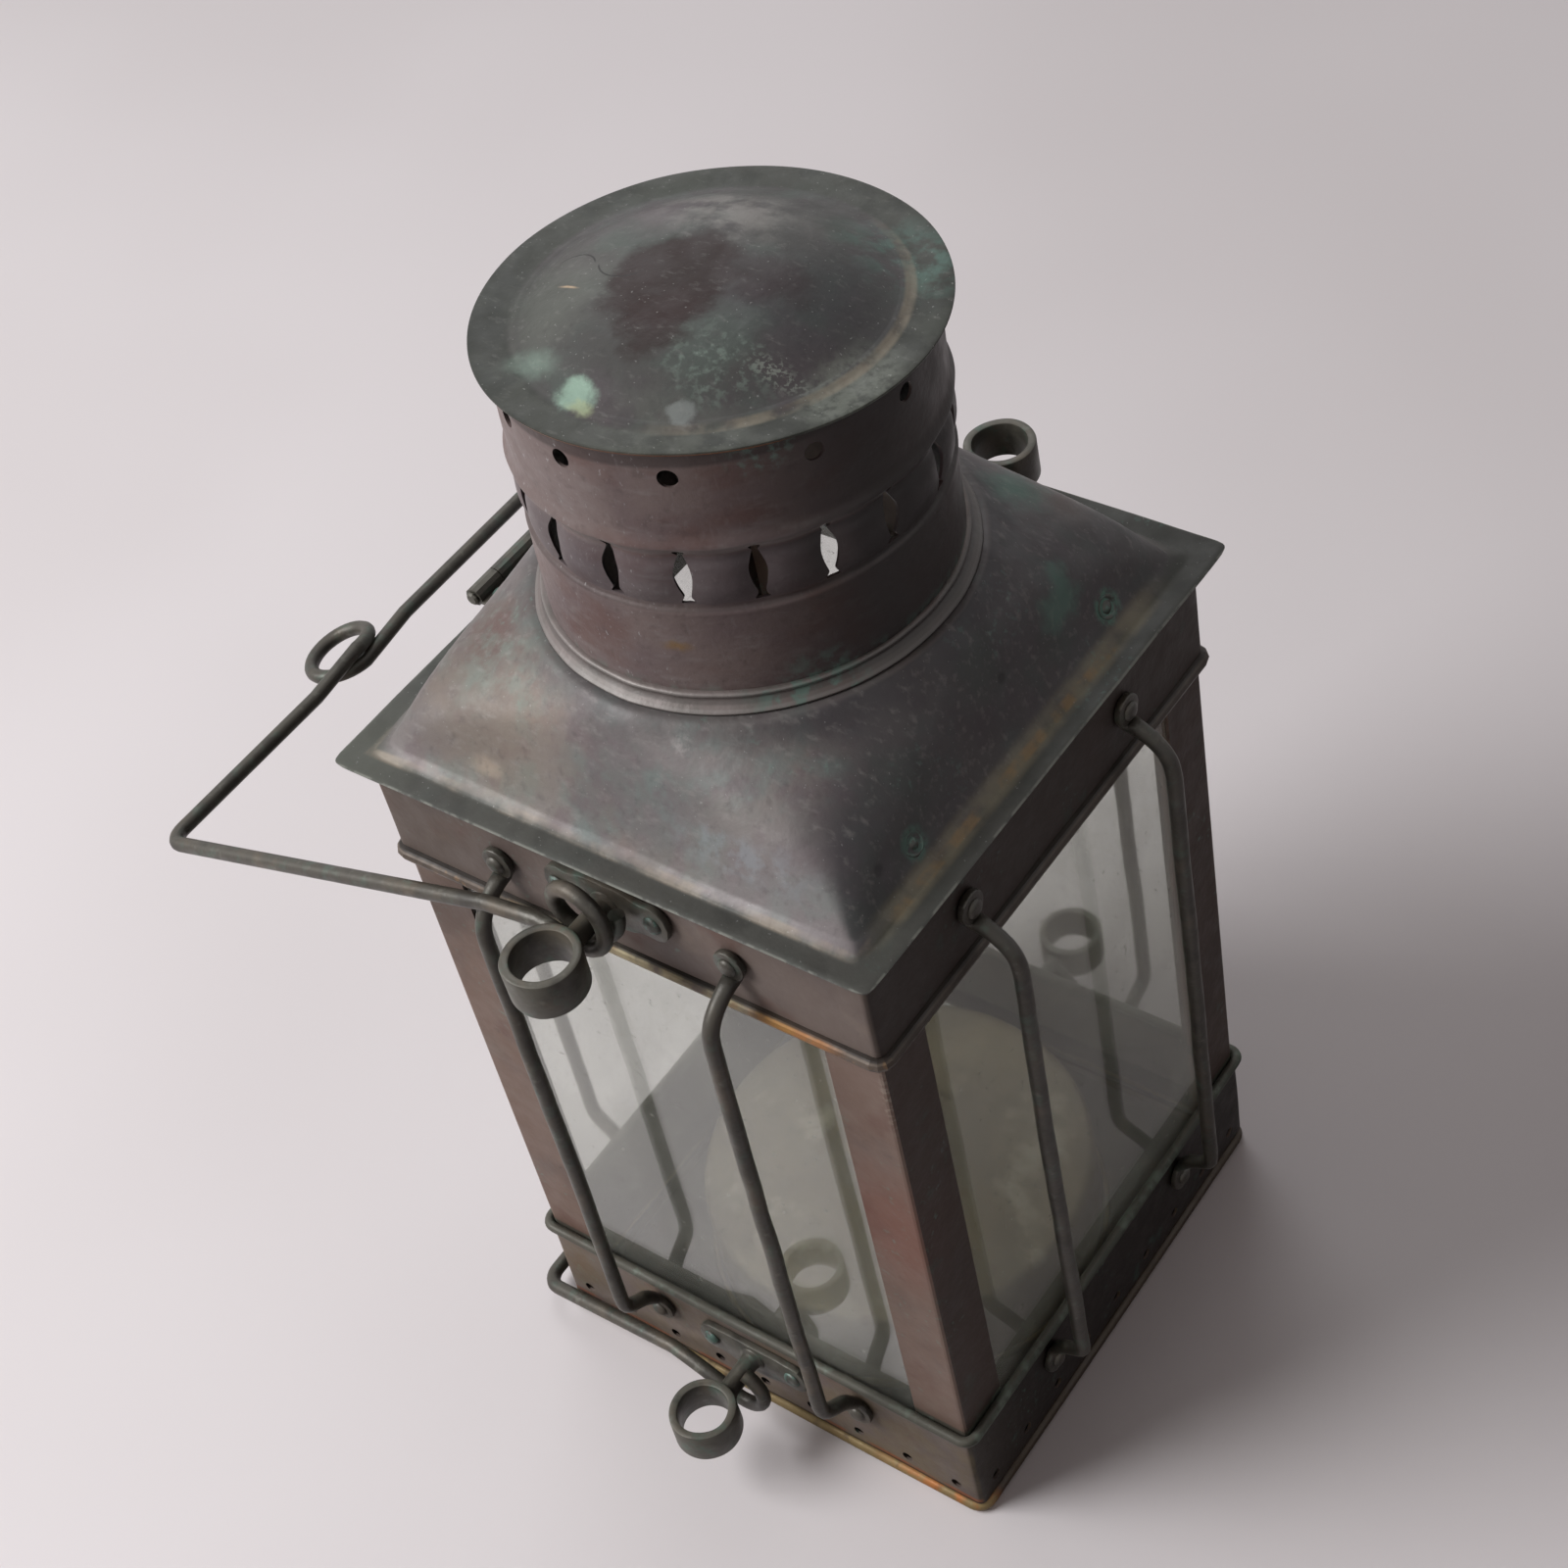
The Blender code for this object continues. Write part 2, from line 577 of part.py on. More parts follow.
def guide_brackets():
    grip = SHEET + GAP + BRACKET_PLATE_T + GAP / 2
    rivet = rivet_mesh("bracket_rivet", grip)
    under_edge = LOWER_BAND_TOP - WIRED_EDGE_R - GAP - LOWER_PIVOT_Z
    for level, z, plate_top in (("top", UPPER_PIVOT_Z, BRACKET_PLATE_HALF),
                                ("bottom", LOWER_PIVOT_Z, under_edge)):
        mesh = bracket_mesh("bracket", plate_top)
        for face, turn in (("front", 0), ("back", pi)):
            place = Matrix.Rotation(turn, 4, "Z") @ Matrix.Translation((0, 0, z))
            part(f"guide_bracket_{level}_{face}", mesh, BRASS, place)
            for number, x in ((1, -BRACKET_RIVET_X), (2, BRACKET_RIVET_X)):
                at = place @ Matrix.Translation((x, -BAND_IN, 0))
                part(f"bracket_rivet_{level}_{face}_{number}", rivet, BRASS, at)


# --- bails ------------------------------------------------------------------------------
def eye_points(eye_y, shift, leg_start, steps=12):
    """Front eye of a bail, round its stud, as (out, y, up), from its free end to the leg.

    The leg leaves the eye on a tangent towards leg_start. It lies furthest from the case, and
    the turn closes beside it, nearer the case.
    """
    out, up = leg_start
    tangent = atan2(up - shift, out) - acos(EYE_R / hypot(out, up - shift))
    start = tangent - radians(325)
    points = []
    for i in range(steps + 1):
        a = start + (tangent - start) * i / steps
        lap = EYE_TURN_PITCH * (1 - min(1.0, i / (steps * 0.85)))
        points.append((EYE_R * cos(a), lap - eye_y, shift + EYE_R * sin(a)))
    return points


def placed(points, drop):
    """From (out, y, up) to (x, y, z), with out pointing to -X and down by the angle drop."""
    return [(-out * cos(drop) - up * sin(drop), y, up * cos(drop) - out * sin(drop))
            for out, y, up in points]


def top_loop(steps=14):
    """Closed turn in the middle of the top bail, where it hooks on a hoist."""
    lift = WIRE_R + GAP
    points = []
    for i in range(steps + 1):
        a = 2 * pi * i / steps - pi / 2
        out = TOP_BAIL_REACH + TOP_LOOP_R * (1 + sin(a))
        up = TOP_BAIL_RISE + lift * (1 - 2 * i / steps)
        points.append((out, TOP_LOOP_SHIFT + TOP_LOOP_R * cos(a), up))
    before = (TOP_BAIL_REACH, TOP_LOOP_SHIFT - 2 * TOP_LOOP_R, TOP_BAIL_RISE)
    after = (TOP_BAIL_REACH, TOP_LOOP_SHIFT + 2 * TOP_LOOP_R, TOP_BAIL_RISE)
    return [before, *points, after]


def bail_mesh(name, eye, leg, middle, drop):
    """U of wire: eye, leg, corner, crossbar, and the same again at the back."""
    front = eye + leg
    back = [(out, -y, up) for out, y, up in reversed(front)]
    path = front + middle + back
    path = round_corner(path, len(front) + len(middle), BAIL_CORNER_R)
    path = round_corner(path, len(front) - 1, BAIL_CORNER_R)
    return wire(name, placed(path, drop), WIRE_R)


def bails():
    """Each bail's origin is on its studs' axis."""
    half = TOP_BAIL_HALF
    crank = (CRANK_START, EYE_SHIFT / 2)
    eye = eye_points(half, EYE_SHIFT, crank)
    leg = [(crank[0], -half, crank[1]), (CRANK_END, -half, TOP_BAIL_RISE),
           (TOP_BAIL_REACH, -half, TOP_BAIL_RISE)]
    mesh = bail_mesh("top_bail", eye, leg, top_loop(), TOP_BAIL_DROP)
    part("top_bail", mesh, BRASS, Matrix.Translation((0, 0, UPPER_PIVOT_Z)))
    drop = asin((LOWER_PIVOT_Z - WIRE_R) / BOTTOM_BAIL_REACH)
    eye = eye_points(BOTTOM_EYE_HALF, EYE_SHIFT, crank)
    leg = [(crank[0], -BOTTOM_EYE_HALF, crank[1]), (CRANK_END, -BOTTOM_EYE_HALF, 0),
           (BOTTOM_BAIL_REACH, -BOTTOM_BAIL_HALF, 0)]
    mesh = bail_mesh("bottom_bail", eye, leg, [], drop)
    part("bottom_bail", mesh, BRASS, Matrix.Translation((0, 0, LOWER_PIVOT_Z)))


# --- roof -------------------------------------------------------------------------------
def roof_section(step):
    """(half width, squareness, height) of the pressed dome, from its base to the chimney seat.

    The steps are closer together near the base, where the dome bends most.
    """
    share = (step / ROOF_STEPS) ** 1.4
    half = DOME_BASE_HALF + (SEAT_R - DOME_BASE_HALF) * share ** 0.72
    square = 2 + 38 * (1 - share) ** 4.6
    height = DOME_Z + DOME_RISE * sin(share * pi / 2) ** 1.08
    return half, square, height


def inner_offset(step):
    """How far inside the outer half width the dome's inner face lies, one sheet lower."""
    return SHEET * (1.1 - 0.5 * step / ROOF_STEPS)


def superellipse(half, square, angle):
    """Distance from the axis to a rounded square at an angle."""
    return half / (abs(cos(angle)) ** square + abs(sin(angle)) ** square) ** (1 / square)


def roof():
    """Flange, pressed dome that turns from square to round, and the flat chimney seat."""
    hole = round_hole(CHIMNEY_R)
    sections = [(FLANGE_HALF, FLANGE_SQUARENESS, FLANGE_Z), (FLANGE_HALF, FLANGE_SQUARENESS, DOME_Z)]
    dome = [roof_section(step) for step in range(ROOF_STEPS + 1)]
    sections += dome + [(hole, 2, SEAT_Z)]
    sections += [(hole, 2, SEAT_Z - SHEET)]
    sections += [(dome[step][0] - inner_offset(step), dome[step][1], dome[step][2] - SHEET)
                 for step in INNER_STEPS]
    stations = []
    for i in range(ROOF_SEGMENTS):
        a = 2 * pi * i / ROOF_SEGMENTS
        ring = []
        for half, square, height in sections:
            r = superellipse(half, square, a)
            ring.append((r * cos(a), r * sin(a), height))
        stations.append(ring)
    places = spring_rivet_places()
    holes = pins("holes", places, RIVET_R + BORE_PLAY, 8 * SHEET, 8)
    lid = pins("lid_holes", lid_rivet_places(), RIVET_R + BORE_PLAY, 8 * SHEET, 8)
    mesh = combined("roof", skin("roof", stations, wrap=True),
                    [("DIFFERENCE", holes), ("DIFFERENCE", lid)])
    part("roof", mesh, COPPER)


def chimney_profile():
    """Tube wall: a low swage behind the slots, a crease below them and a bead above."""
    middle = SEAT_Z + SLOT_Z
    low = middle - SLOT_HALF_HEIGHT - SWAGE_RISE
    high = middle + SLOT_HALF_HEIGHT + SWAGE_RISE / 2
    crease = CHIMNEY_R - SWAGE_RISE / 2
    outer = [(CHIMNEY_R, SEAT_Z - CHIMNEY_DIP), (CHIMNEY_R, low - SWAGE_RISE), (crease, low),
             (CHIMNEY_R + SWAGE_RISE / 3, middle - SLOT_HALF_HEIGHT / 4),
             (CHIMNEY_R - SWAGE_RISE / 3, middle + SLOT_HALF_HEIGHT * 0.7),
             (CHIMNEY_R + SWAGE_RISE, high + SWAGE_RISE / 2),
             (CHIMNEY_R, high + 3 * SWAGE_RISE), (CHIMNEY_R, CAP_Z - GAP)]
    tube = CHIMNEY_R - CHIMNEY_T
    inner = [(tube, CAP_Z - GAP), (tube, high + SWAGE_RISE), (crease - CHIMNEY_T, high - SWAGE_RISE),
             (crease - CHIMNEY_T, low), (tube, low - SWAGE_RISE), (tube, SEAT_Z - CHIMNEY_DIP)]
    return outer + inner


def slot_outline():
    """Baluster-shaped slot: knob, neck, belly, waist and foot."""
    shape = [(0.60, 1.0), (0.42, 0.66), (1.0, 0.05), (0.45, -0.68), (0.70, -1.0)]
    right = [(w * SLOT_HALF_WIDTH, h * SLOT_HALF_HEIGHT) for w, h in shape]
    return right + [(-w, h) for w, h in reversed(right)]


def slot_cutter():
    bm = bmesh.new()
    near = CHIMNEY_R - 6 * CHIMNEY_T
    far = CHIMNEY_R + 6 * CHIMNEY_T
    for i in range(SLOT_COUNT):
        turn = Matrix.Rotation(SLOT_PHASE + 2 * pi * i / SLOT_COUNT, 4, "Z")
        rows = []
        for x in (near, far):
            rows.append([bm.verts.new(turn @ Vector((x, y, SEAT_Z + SLOT_Z + z)))
                         for y, z in slot_outline()])
        count = len(rows[0])
        for j in range(count):
            k = (j + 1) % count
            bm.faces.new((rows[0][j], rows[0][k], rows[1][k], rows[1][j]))
        bm.faces.new(reversed(rows[0]))
        bm.faces.new(rows[1])
    return to_mesh(bm, "slots")


def chimney():
    holes = []
    for i in range(HOLE_COUNT):
        a = HOLE_PHASE + 2 * pi * i / HOLE_COUNT
        out = Vector((cos(a), sin(a), 0))
        holes.append((out * CHIMNEY_R + Vector((0, 0, CAP_Z - HOLE_DROP)), out))
    start = SLOT_PHASE + pi / CHIMNEY_SEGMENTS
    tube = turned("chimney", chimney_profile(), CHIMNEY_SEGMENTS, start)
    drills = pins("round_holes", holes, HOLE_R, 12 * CHIMNEY_T, 6)
    mesh = combined("chimney", tube, [("DIFFERENCE", slot_cutter()), ("DIFFERENCE", drills)])
    part("chimney", mesh, COPPER)


def round_hole(radius):
    """Corner radius of a turned hole whose facets clear a round piece of this radius."""
    return (radius + GAP) / cos(pi / TURN_SEGMENTS)


def chimney_collar():
    """Flared ring soldered round the foot of the chimney."""
    inner = round_hole(CHIMNEY_R)
    low = SEAT_Z + GAP
    profile = [(inner, low), (inner + COLLAR_FLARE, low + COLLAR_HEIGHT * 0.1),
               (inner + COLLAR_FLARE * 0.6, low + COLLAR_HEIGHT * 0.6),
               (inner + COLLAR_FLARE * 0.4, low + COLLAR_HEIGHT), (inner, low + COLLAR_HEIGHT)]
    part("chimney_collar", turned("chimney_collar", profile), DARK_COPPER)


def cap():
    """Pressed cap: flat rim, raised dome and a spigot inside the chimney."""
    rim = CHIMNEY_R + CAP_OVERHANG
    inner = rim - CAP_RIM
    top = CAP_Z + SHEET
    spigot = (CHIMNEY_R - CHIMNEY_T - GAP) * cos(pi / CHIMNEY_SEGMENTS)
    curve = [(cos(radians(a)), sin(radians(a))) for a in (14, 38, 66)]
    over = [(inner * (c ** 0.8), top + CAP_DOME * s ** 0.9) for c, s in curve]
    under = [(r - SHEET * 0.6, z - SHEET) for r, z in over[1:]]
    profile = [(0, top + CAP_DOME)] + over[::-1] + [(inner, top), (rim, top), (rim, CAP_Z)]
    profile += [(spigot, CAP_Z), (spigot, CAP_Z - CAP_SPIGOT), (spigot - SHEET, CAP_Z - CAP_SPIGOT),
                (spigot - SHEET, CAP_Z), (inner - SHEET, CAP_Z)]
    profile += under + [(0, top + CAP_DOME - SHEET)]
    part("cap", turned("cap", profile), DARK_COPPER)


# --- hinge and catch springs --------------------------------------------------------------
def hinge_rivet_z():
    return UPPER_BAND_TOP - LEAF_LENGTH * 0.62


def hinge_rivet_places():
    """Rivets of the fixed leaf, through the left side of the upper band."""
    return [((-BAND_OUT, y, hinge_rivet_z()), (1, 0, 0)) for y in (-HINGE_RIVET_Y, HINGE_RIVET_Y)]


def lid_rivet_places():
    """Rivets of the moving leaf, through the roof flange."""
    x = -(BAND_OUT + FLANGE_HALF) / 2
    return [((x, y, FLANGE_Z), (0, 0, 1)) for y in (-LID_RIVET_Y, LID_RIVET_Y)]


def knuckle(y_low, y_high):
    """A (centre, direction) place and length for one knuckle of the hinge."""
    return ((HINGE_X, (y_low + y_high) / 2, HINGE_Z), (0, 1, 0)), y_high - y_low


def hinge_leaf_case():
    """Fixed leaf: a strap up the band, out under the flange and round the pin."""
    face = -EAR_FACE
    low = UPPER_BAND_TOP - LEAF_LENGTH
    bend = UPPER_BAND_TOP - LEAF_BEND_DROP
    root = (HINGE_X + HINGE_KNUCKLE_R * 0.1, HINGE_Z - HINGE_KNUCKLE_R * 0.75)
    outline = [(face, low), (face, bend), (root[0] + LEAF_T, root[1] + GAP),
               (root[0] - LEAF_T * 0.4, root[1] - LEAF_T * 0.3),
               (face - LEAF_T, bend - LEAF_T), (face - LEAF_T, low)]
    strap = skin("strap", [[(x, y, z) for x, z in outline]
                           for y in (-HINGE_MIDDLE_HALF, HINGE_MIDDLE_HALF)], wrap=False)
    place, length = knuckle(-HINGE_MIDDLE_HALF, HINGE_MIDDLE_HALF)
    barrel = pins("barrel", [place], HINGE_KNUCKLE_R, length, 12)
    bore = pins("bore", [place], HINGE_PIN_R + BORE_PLAY, 2 * length, 10)
    holes = pins("holes", hinge_rivet_places(), RIVET_R + BORE_PLAY, 8 * LEAF_T, 8)
    mesh = combined("leaf", strap, [("UNION", barrel), ("DIFFERENCE", bore), ("DIFFERENCE", holes)])
    part("hinge_leaf_case", mesh, BRASS)


def hinge_leaf_lid():
    """Moving leaf: a strip on the flange with a knuckle at each end."""
    low = DOME_Z + GAP
    near = -(DOME_BASE_HALF + LEAF_CLEAR)
    far = HINGE_X + LEAF_CLEAR
    strip = [(near, low), (near, low + LEAF_T), (far, low + LEAF_T), (far, low)]
    mesh = None
    for side in (-1, 1):
        ends = sorted((side * (HINGE_MIDDLE_HALF + GAP), side * HINGE_HALF))
        place, length = knuckle(*ends)
        tab = skin("tab", [[(x, y, z) for x, z in strip] for y in ends], wrap=False)
        barrel = pins("barrel", [place], HINGE_KNUCKLE_R, length, 12)
        tab = combined("tab", tab, [("UNION", barrel)])
        mesh = tab if mesh is None else combined("leaf", mesh, [("UNION", tab)])
    side = near - LEAF_BRIDGE
    bridge = [(near, low), (near, low + LEAF_T), (side, low + LEAF_T), (side, low)]
    bridge = skin("bridge", [[(x, y, z) for x, z in bridge]
                             for y in (-HINGE_HALF + GAP, HINGE_HALF - GAP)], wrap=False)
    place, length = knuckle(-HINGE_HALF, HINGE_HALF)
    bore = pins("bore", [place], HINGE_PIN_R + BORE_PLAY, 2 * length, 10)
    holes = pins("holes", lid_rivet_places(), RIVET_R + BORE_PLAY, 8 * LEAF_T, 8)
    mesh = combined("leaf", mesh, [("UNION", bridge), ("DIFFERENCE", bore), ("DIFFERENCE", holes)])
    part("hinge_leaf_lid", mesh, BRASS)


def hinge_pin():
    """Pin with a burred head at each end."""
    half = HINGE_HALF + GAP
    head = HINGE_PIN_R * 1.35
    end = half + PIN_HEAD_T
    edge = half + PIN_HEAD_T / 2
    upper = [(HINGE_PIN_R, half), (head, half), (head, edge), (head * 0.7, end), (0, end)]
    profile = [(r, -y) for r, y in reversed(upper)] + upper
    place = Matrix.Translation((HINGE_X, 0, HINGE_Z)) @ Matrix.Rotation(pi / 2, 4, "X")
    part("hinge_pin", turned("hinge_pin", profile, 10), BRASS, place)


def hinge_rivets():
    rivet = rivet_mesh("hinge_rivet", SHEET + GAP + LEAF_T + GAP / 2)
    for number, (place, _) in enumerate(hinge_rivet_places(), 1):
        at = Matrix.Translation((-BAND_IN, place[1], place[2])) @ Matrix.Rotation(-pi / 2, 4, "Z")
        part(f"hinge_rivet_case_{number}", rivet, BRASS, at)
    for number, (place, _) in enumerate(lid_rivet_places(), 1):
        at = Matrix.Translation((place[0], place[1], FLANGE_Z)) @ Matrix.Rotation(-pi / 2, 4, "X")
        part(f"hinge_rivet_lid_{number}", rivet, BRASS, at)


def dome_inside(step):
    """(half width, height) of the dome's inner face on the middle of a side."""
    half, _, height = roof_section(step)
    return half - inner_offset(step), height - SHEET


def spring_rivet_frame():
    """Point on the dome's inner face and its outward normal, for the catch springs."""
    low = dome_inside(1)
    high = dome_inside(2)
    run = Vector((high[0] - low[0], 0, high[1] - low[1])).normalized()
    middle = Vector(((low[0] + high[0]) / 2, 0, (low[1] + high[1]) / 2))
    return middle, Vector((run.z, 0, -run.x))


def spring_rivet_places():
    middle, normal = spring_rivet_frame()
    return [(middle + Vector((0, y, 0)), normal) for y in (-SPRING_Y, SPRING_Y)]


def catch_springs():
    """Two springs riveted inside the right slope of the roof, which press on the upper band."""
    middle, normal = spring_rivet_frame()
    along = Vector((-normal.z, 0, normal.x))
    inset = GAP + SPRING_T / 2
    seat = middle - normal * inset
    tip_z = FLANGE_Z - SPRING_DROP
    crest = BAND_IN - SPRING_PLAY - SPRING_T / 2
    line = [seat + along * SPRING_WIDTH * 0.35, seat, seat - along * SPRING_WIDTH * 0.35,
            Vector((crest - SPRING_WIDTH * 0.3, 0, FLANGE_Z)),
            Vector((crest, 0, (FLANGE_Z + tip_z) / 2)),
            Vector((crest - SPRING_WIDTH * 0.3, 0, tip_z))]
    outer = []
    inner = []
    for i, point in enumerate(line):
        run = (line[min(i + 1, len(line) - 1)] - line[max(i - 1, 0)]).normalized()
        side = Vector((-run.z, 0, run.x)) * SPRING_T / 2
        outer.append(point + side)
        inner.append(point - side)
    outline = outer + inner[::-1]
    strip = skin("spring", [[(p.x, y, p.z) for p in outline]
                            for y in (-SPRING_WIDTH / 2, SPRING_WIDTH / 2)], wrap=False)
    hole = pins("hole", [(seat, normal)], RIVET_R + BORE_PLAY, 8 * SPRING_T, 8)
    mesh = combined("spring", strip, [("DIFFERENCE", hole)])
    rivet = rivet_mesh("spring_rivet", SPRING_T + SHEET + 2 * GAP)
    turn = Matrix.Rotation(pi / 2, 4, "Z")
    tilt = Matrix.Rotation(-asin(normal.z), 4, "Y")
    for number, y in ((1, -SPRING_Y), (2, SPRING_Y)):
        part(f"catch_spring_{number}", mesh, BRASS, Matrix.Translation((0, y, 0)))
        start = middle - normal * (SPRING_T + GAP) + Vector((0, y, 0))
        part(f"catch_rivet_{number}", rivet, BRASS, Matrix.Translation(start) @ tilt @ turn)


# --- oil font ----------------------------------------------------------------------------
def oil_font():
    """Round tinplate tank with a crowned top and an open neck for the burner."""
    floor = PAN_FLOOR + GAP
    crown = FONT_CROWN - FONT_SIDE - FONT_EDGE_R
    rows = [(FONT_R, FONT_SIDE), (FONT_R - FONT_EDGE_R * 0.5, FONT_SIDE + FONT_EDGE_R * 0.9)]
    for share in (0.82, 0.55):
        rows.append(((FONT_R - FONT_EDGE_R) * share, FONT_SIDE + FONT_EDGE_R + crown * (1 - share ** 2)))
    rows.append((NECK_R, FONT_CROWN))
    outer = [(0, floor), (FONT_R, floor)] + rows + [(NECK_R, FONT_CROWN + NECK_HEIGHT)]
    bore = NECK_R - FONT_WALL
    inner = [(bore, FONT_CROWN + NECK_HEIGHT), (bore, FONT_CROWN - FONT_WALL)]
    inner += [(r - FONT_WALL, z - FONT_WALL) for r, z in reversed(rows[:-1])]
    inner += [(FONT_R - FONT_WALL, floor + FONT_WALL), (0, floor + FONT_WALL)]
    part("oil_font", turned("oil_font", outer + inner, SMALL_SEGMENTS), TINPLATE)


def font_ring():
    """Ring on the floor that keeps the oil font in the middle."""
    inner = (FONT_R + GAP) / cos(pi / SMALL_SEGMENTS)
    low = PAN_FLOOR + GAP
    profile = [(inner, low), (inner + FONT_RING_T, low), (inner + FONT_RING_T, low + FONT_RING_HEIGHT),
               (inner, low + FONT_RING_HEIGHT)]
    part("font_ring", turned("font_ring", profile, SMALL_SEGMENTS), COPPER)


def box_mesh(name, size, low):
    half_x = size[0] / 2
    half_y = size[1] / 2
    outline = [(-half_x, -half_y), (half_x, -half_y), (half_x, half_y), (-half_x, half_y)]
    return extruded(name, outline, low, low + size[2])


def burner():
    """Screw cap with a flat wick tube, and the wick standing in it."""
    low = FONT_CROWN + NECK_HEIGHT + GAP
    top = low + BURNER_HEIGHT
    profile = [(0, low), (BURNER_R, low), (BURNER_R, low + BURNER_HEIGHT * 0.7),
               (BURNER_R * 0.86, top), (0, top)]
    tube = box_mesh("tube", WICK_TUBE, top - 0.0010)
    slot = (WICK[0] + 2 * GAP, WICK[1] + 2 * GAP, 2 * WICK_TUBE[2])
    bore = box_mesh("bore", slot, low + 0.0020)
    body = turned("burner", profile, SMALL_SEGMENTS // 2)
    mesh = combined("burner", body, [("UNION", tube), ("DIFFERENCE", bore)])
    part("burner", mesh, BRASS)
    wick = box_mesh("wick", WICK, low + 0.0020 + GAP)
    part("wick", wick, COTTON, metallic=0.0, roughness=0.9, round_piece=False)


def main():
    clear_scene()
    base_pan()
    lower_band()
    upper_rail()
    upper_band()
    corner_posts()
    glass_panes()
    guard_wires()
    guide_brackets()
    bails()
    roof()
    chimney()
    chimney_collar()
    cap()
    hinge_leaf_case()
    hinge_leaf_lid()
    hinge_pin()
    hinge_rivets()
    catch_springs()
    oil_font()
    font_ring()
    burner()


main()
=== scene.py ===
"""Finished copper ship's lantern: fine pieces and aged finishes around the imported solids."""

from math import acos, asin, atan2, cos, exp, hypot, pi, radians, sin, sqrt

import bpy
from mathutils import Matrix, Vector, noise


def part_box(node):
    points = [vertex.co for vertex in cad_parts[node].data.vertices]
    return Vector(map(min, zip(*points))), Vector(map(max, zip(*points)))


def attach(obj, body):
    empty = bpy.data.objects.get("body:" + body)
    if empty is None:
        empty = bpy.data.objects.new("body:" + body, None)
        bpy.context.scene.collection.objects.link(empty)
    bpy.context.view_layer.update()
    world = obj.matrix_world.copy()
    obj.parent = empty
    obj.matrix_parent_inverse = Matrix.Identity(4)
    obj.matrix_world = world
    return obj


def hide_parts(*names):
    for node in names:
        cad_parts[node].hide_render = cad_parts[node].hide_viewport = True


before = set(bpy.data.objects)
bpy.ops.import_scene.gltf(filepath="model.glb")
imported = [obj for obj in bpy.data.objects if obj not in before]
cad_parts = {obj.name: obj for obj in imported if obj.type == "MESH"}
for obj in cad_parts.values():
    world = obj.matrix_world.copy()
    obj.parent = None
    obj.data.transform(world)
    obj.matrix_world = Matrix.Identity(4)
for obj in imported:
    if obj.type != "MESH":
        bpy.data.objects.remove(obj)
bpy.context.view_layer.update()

bl_info = {
    "name": "Copper ship's lantern",
    "version": (1, 0, 0),
    "blender": (4, 5, 0),
    "location": "3D View > Sidebar > Lantern",
    "description": "Builds the fine pieces and the aged finishes of a square copper lantern",
    "category": "Object",
}

# Bounds of the solids that the fine pieces take their places from.
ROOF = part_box("roof")
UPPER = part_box("upper_band")
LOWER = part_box("lower_band")
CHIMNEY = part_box("chimney")
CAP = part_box("cap")
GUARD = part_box("guard_front_1")
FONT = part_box("oil_font")
BAND_OUT = UPPER[1][0]
FACES = ("front", "right", "back", "left")


# --- small tools ----------------------------------------------------------------------
def linear(code):
    """An sRGB hex colour as linear RGBA."""
    values = []
    for i in (1, 3, 5):
        value = int(code[i:i + 2], 16) / 255
        values.append(value / 12.92 if value <= 0.04045 else ((value + 0.055) / 1.055) ** 2.4)
    return (*values, 1.0)


def length(name, description, default):
    return bpy.props.FloatProperty(name=name, description=description, default=default,
                                   min=0.0, precision=5, unit="LENGTH", subtype="DISTANCE")


def shade(name, description, code):
    return bpy.props.FloatVectorProperty(name=name, description=description, size=4, min=0.0,
                                         max=1.0, default=linear(code), subtype="COLOR")


def clear():
    """Back to object mode with nothing selected."""
    if bpy.context.object and bpy.context.object.mode != "OBJECT":
        bpy.ops.object.mode_set(mode="OBJECT")
    bpy.ops.object.select_all(action="DESELECT")


def choose(*pieces):
    clear()
    for piece in pieces:
        piece.select_set(True)
    bpy.context.view_layer.objects.active = pieces[0]


def edit(piece, select="SELECT"):
    choose(piece)
    bpy.ops.object.mode_set(mode="EDIT")
    bpy.ops.mesh.select_all(action=select)


def edit_selected(piece, mode="FACE"):
    """Edit mode with the faces or edges that are already marked."""
    clear()
    piece.select_set(True)
    bpy.context.view_layer.objects.active = piece
    bpy.context.tool_settings.mesh_select_mode = (False, mode == "EDGE", mode == "FACE")
    for vert in piece.data.vertices:
        vert.select = False
    bpy.ops.object.mode_set(mode="EDIT")


def named(name):
    piece = bpy.context.object
    piece.name = name
    piece.data.name = name
    return piece


def mended(piece):
    """Merges doubles and turns all faces outwards."""
    edit(piece)
    bpy.ops.mesh.remove_doubles(threshold=1e-6)
    bpy.ops.mesh.delete_loose()
    bpy.ops.mesh.select_all(action="SELECT")
    bpy.ops.mesh.normals_make_consistent(inside=False)
    clear()
    return piece


def rounded(piece, angle=35):
    choose(piece)
    bpy.ops.object.shade_smooth_by_angle(angle=radians(angle))
    clear()
    return piece


def modified(piece, kind, **settings):
    """Adds a modifier, sets it and applies it."""
    choose(piece)
    modifier = piece.modifiers.new(kind.lower(), kind)
    for key, value in settings.items():
        setattr(modifier, key, value)
    bpy.ops.object.modifier_apply(modifier=modifier.name)
    clear()
    return piece


def drawn(name, points):
    """A closed outline of points, begun as a primitive circle."""
    clear()
    bpy.ops.mesh.primitive_circle_add(vertices=len(points), fill_type="NOTHING")
    piece = named(name)
    for vert, point in zip(piece.data.vertices, points):
        vert.co = point
    return piece


def spun(name, profile, steps, turn=2 * pi):
    """A (radius, height) outline spun about Z."""
    piece = drawn(name, [(r, 0.0, z) for r, z in profile])
    edit(piece)
    bpy.ops.mesh.spin(steps=steps, angle=turn, center=(0, 0, 0), axis=(0, 0, 1))
    return mended(piece)


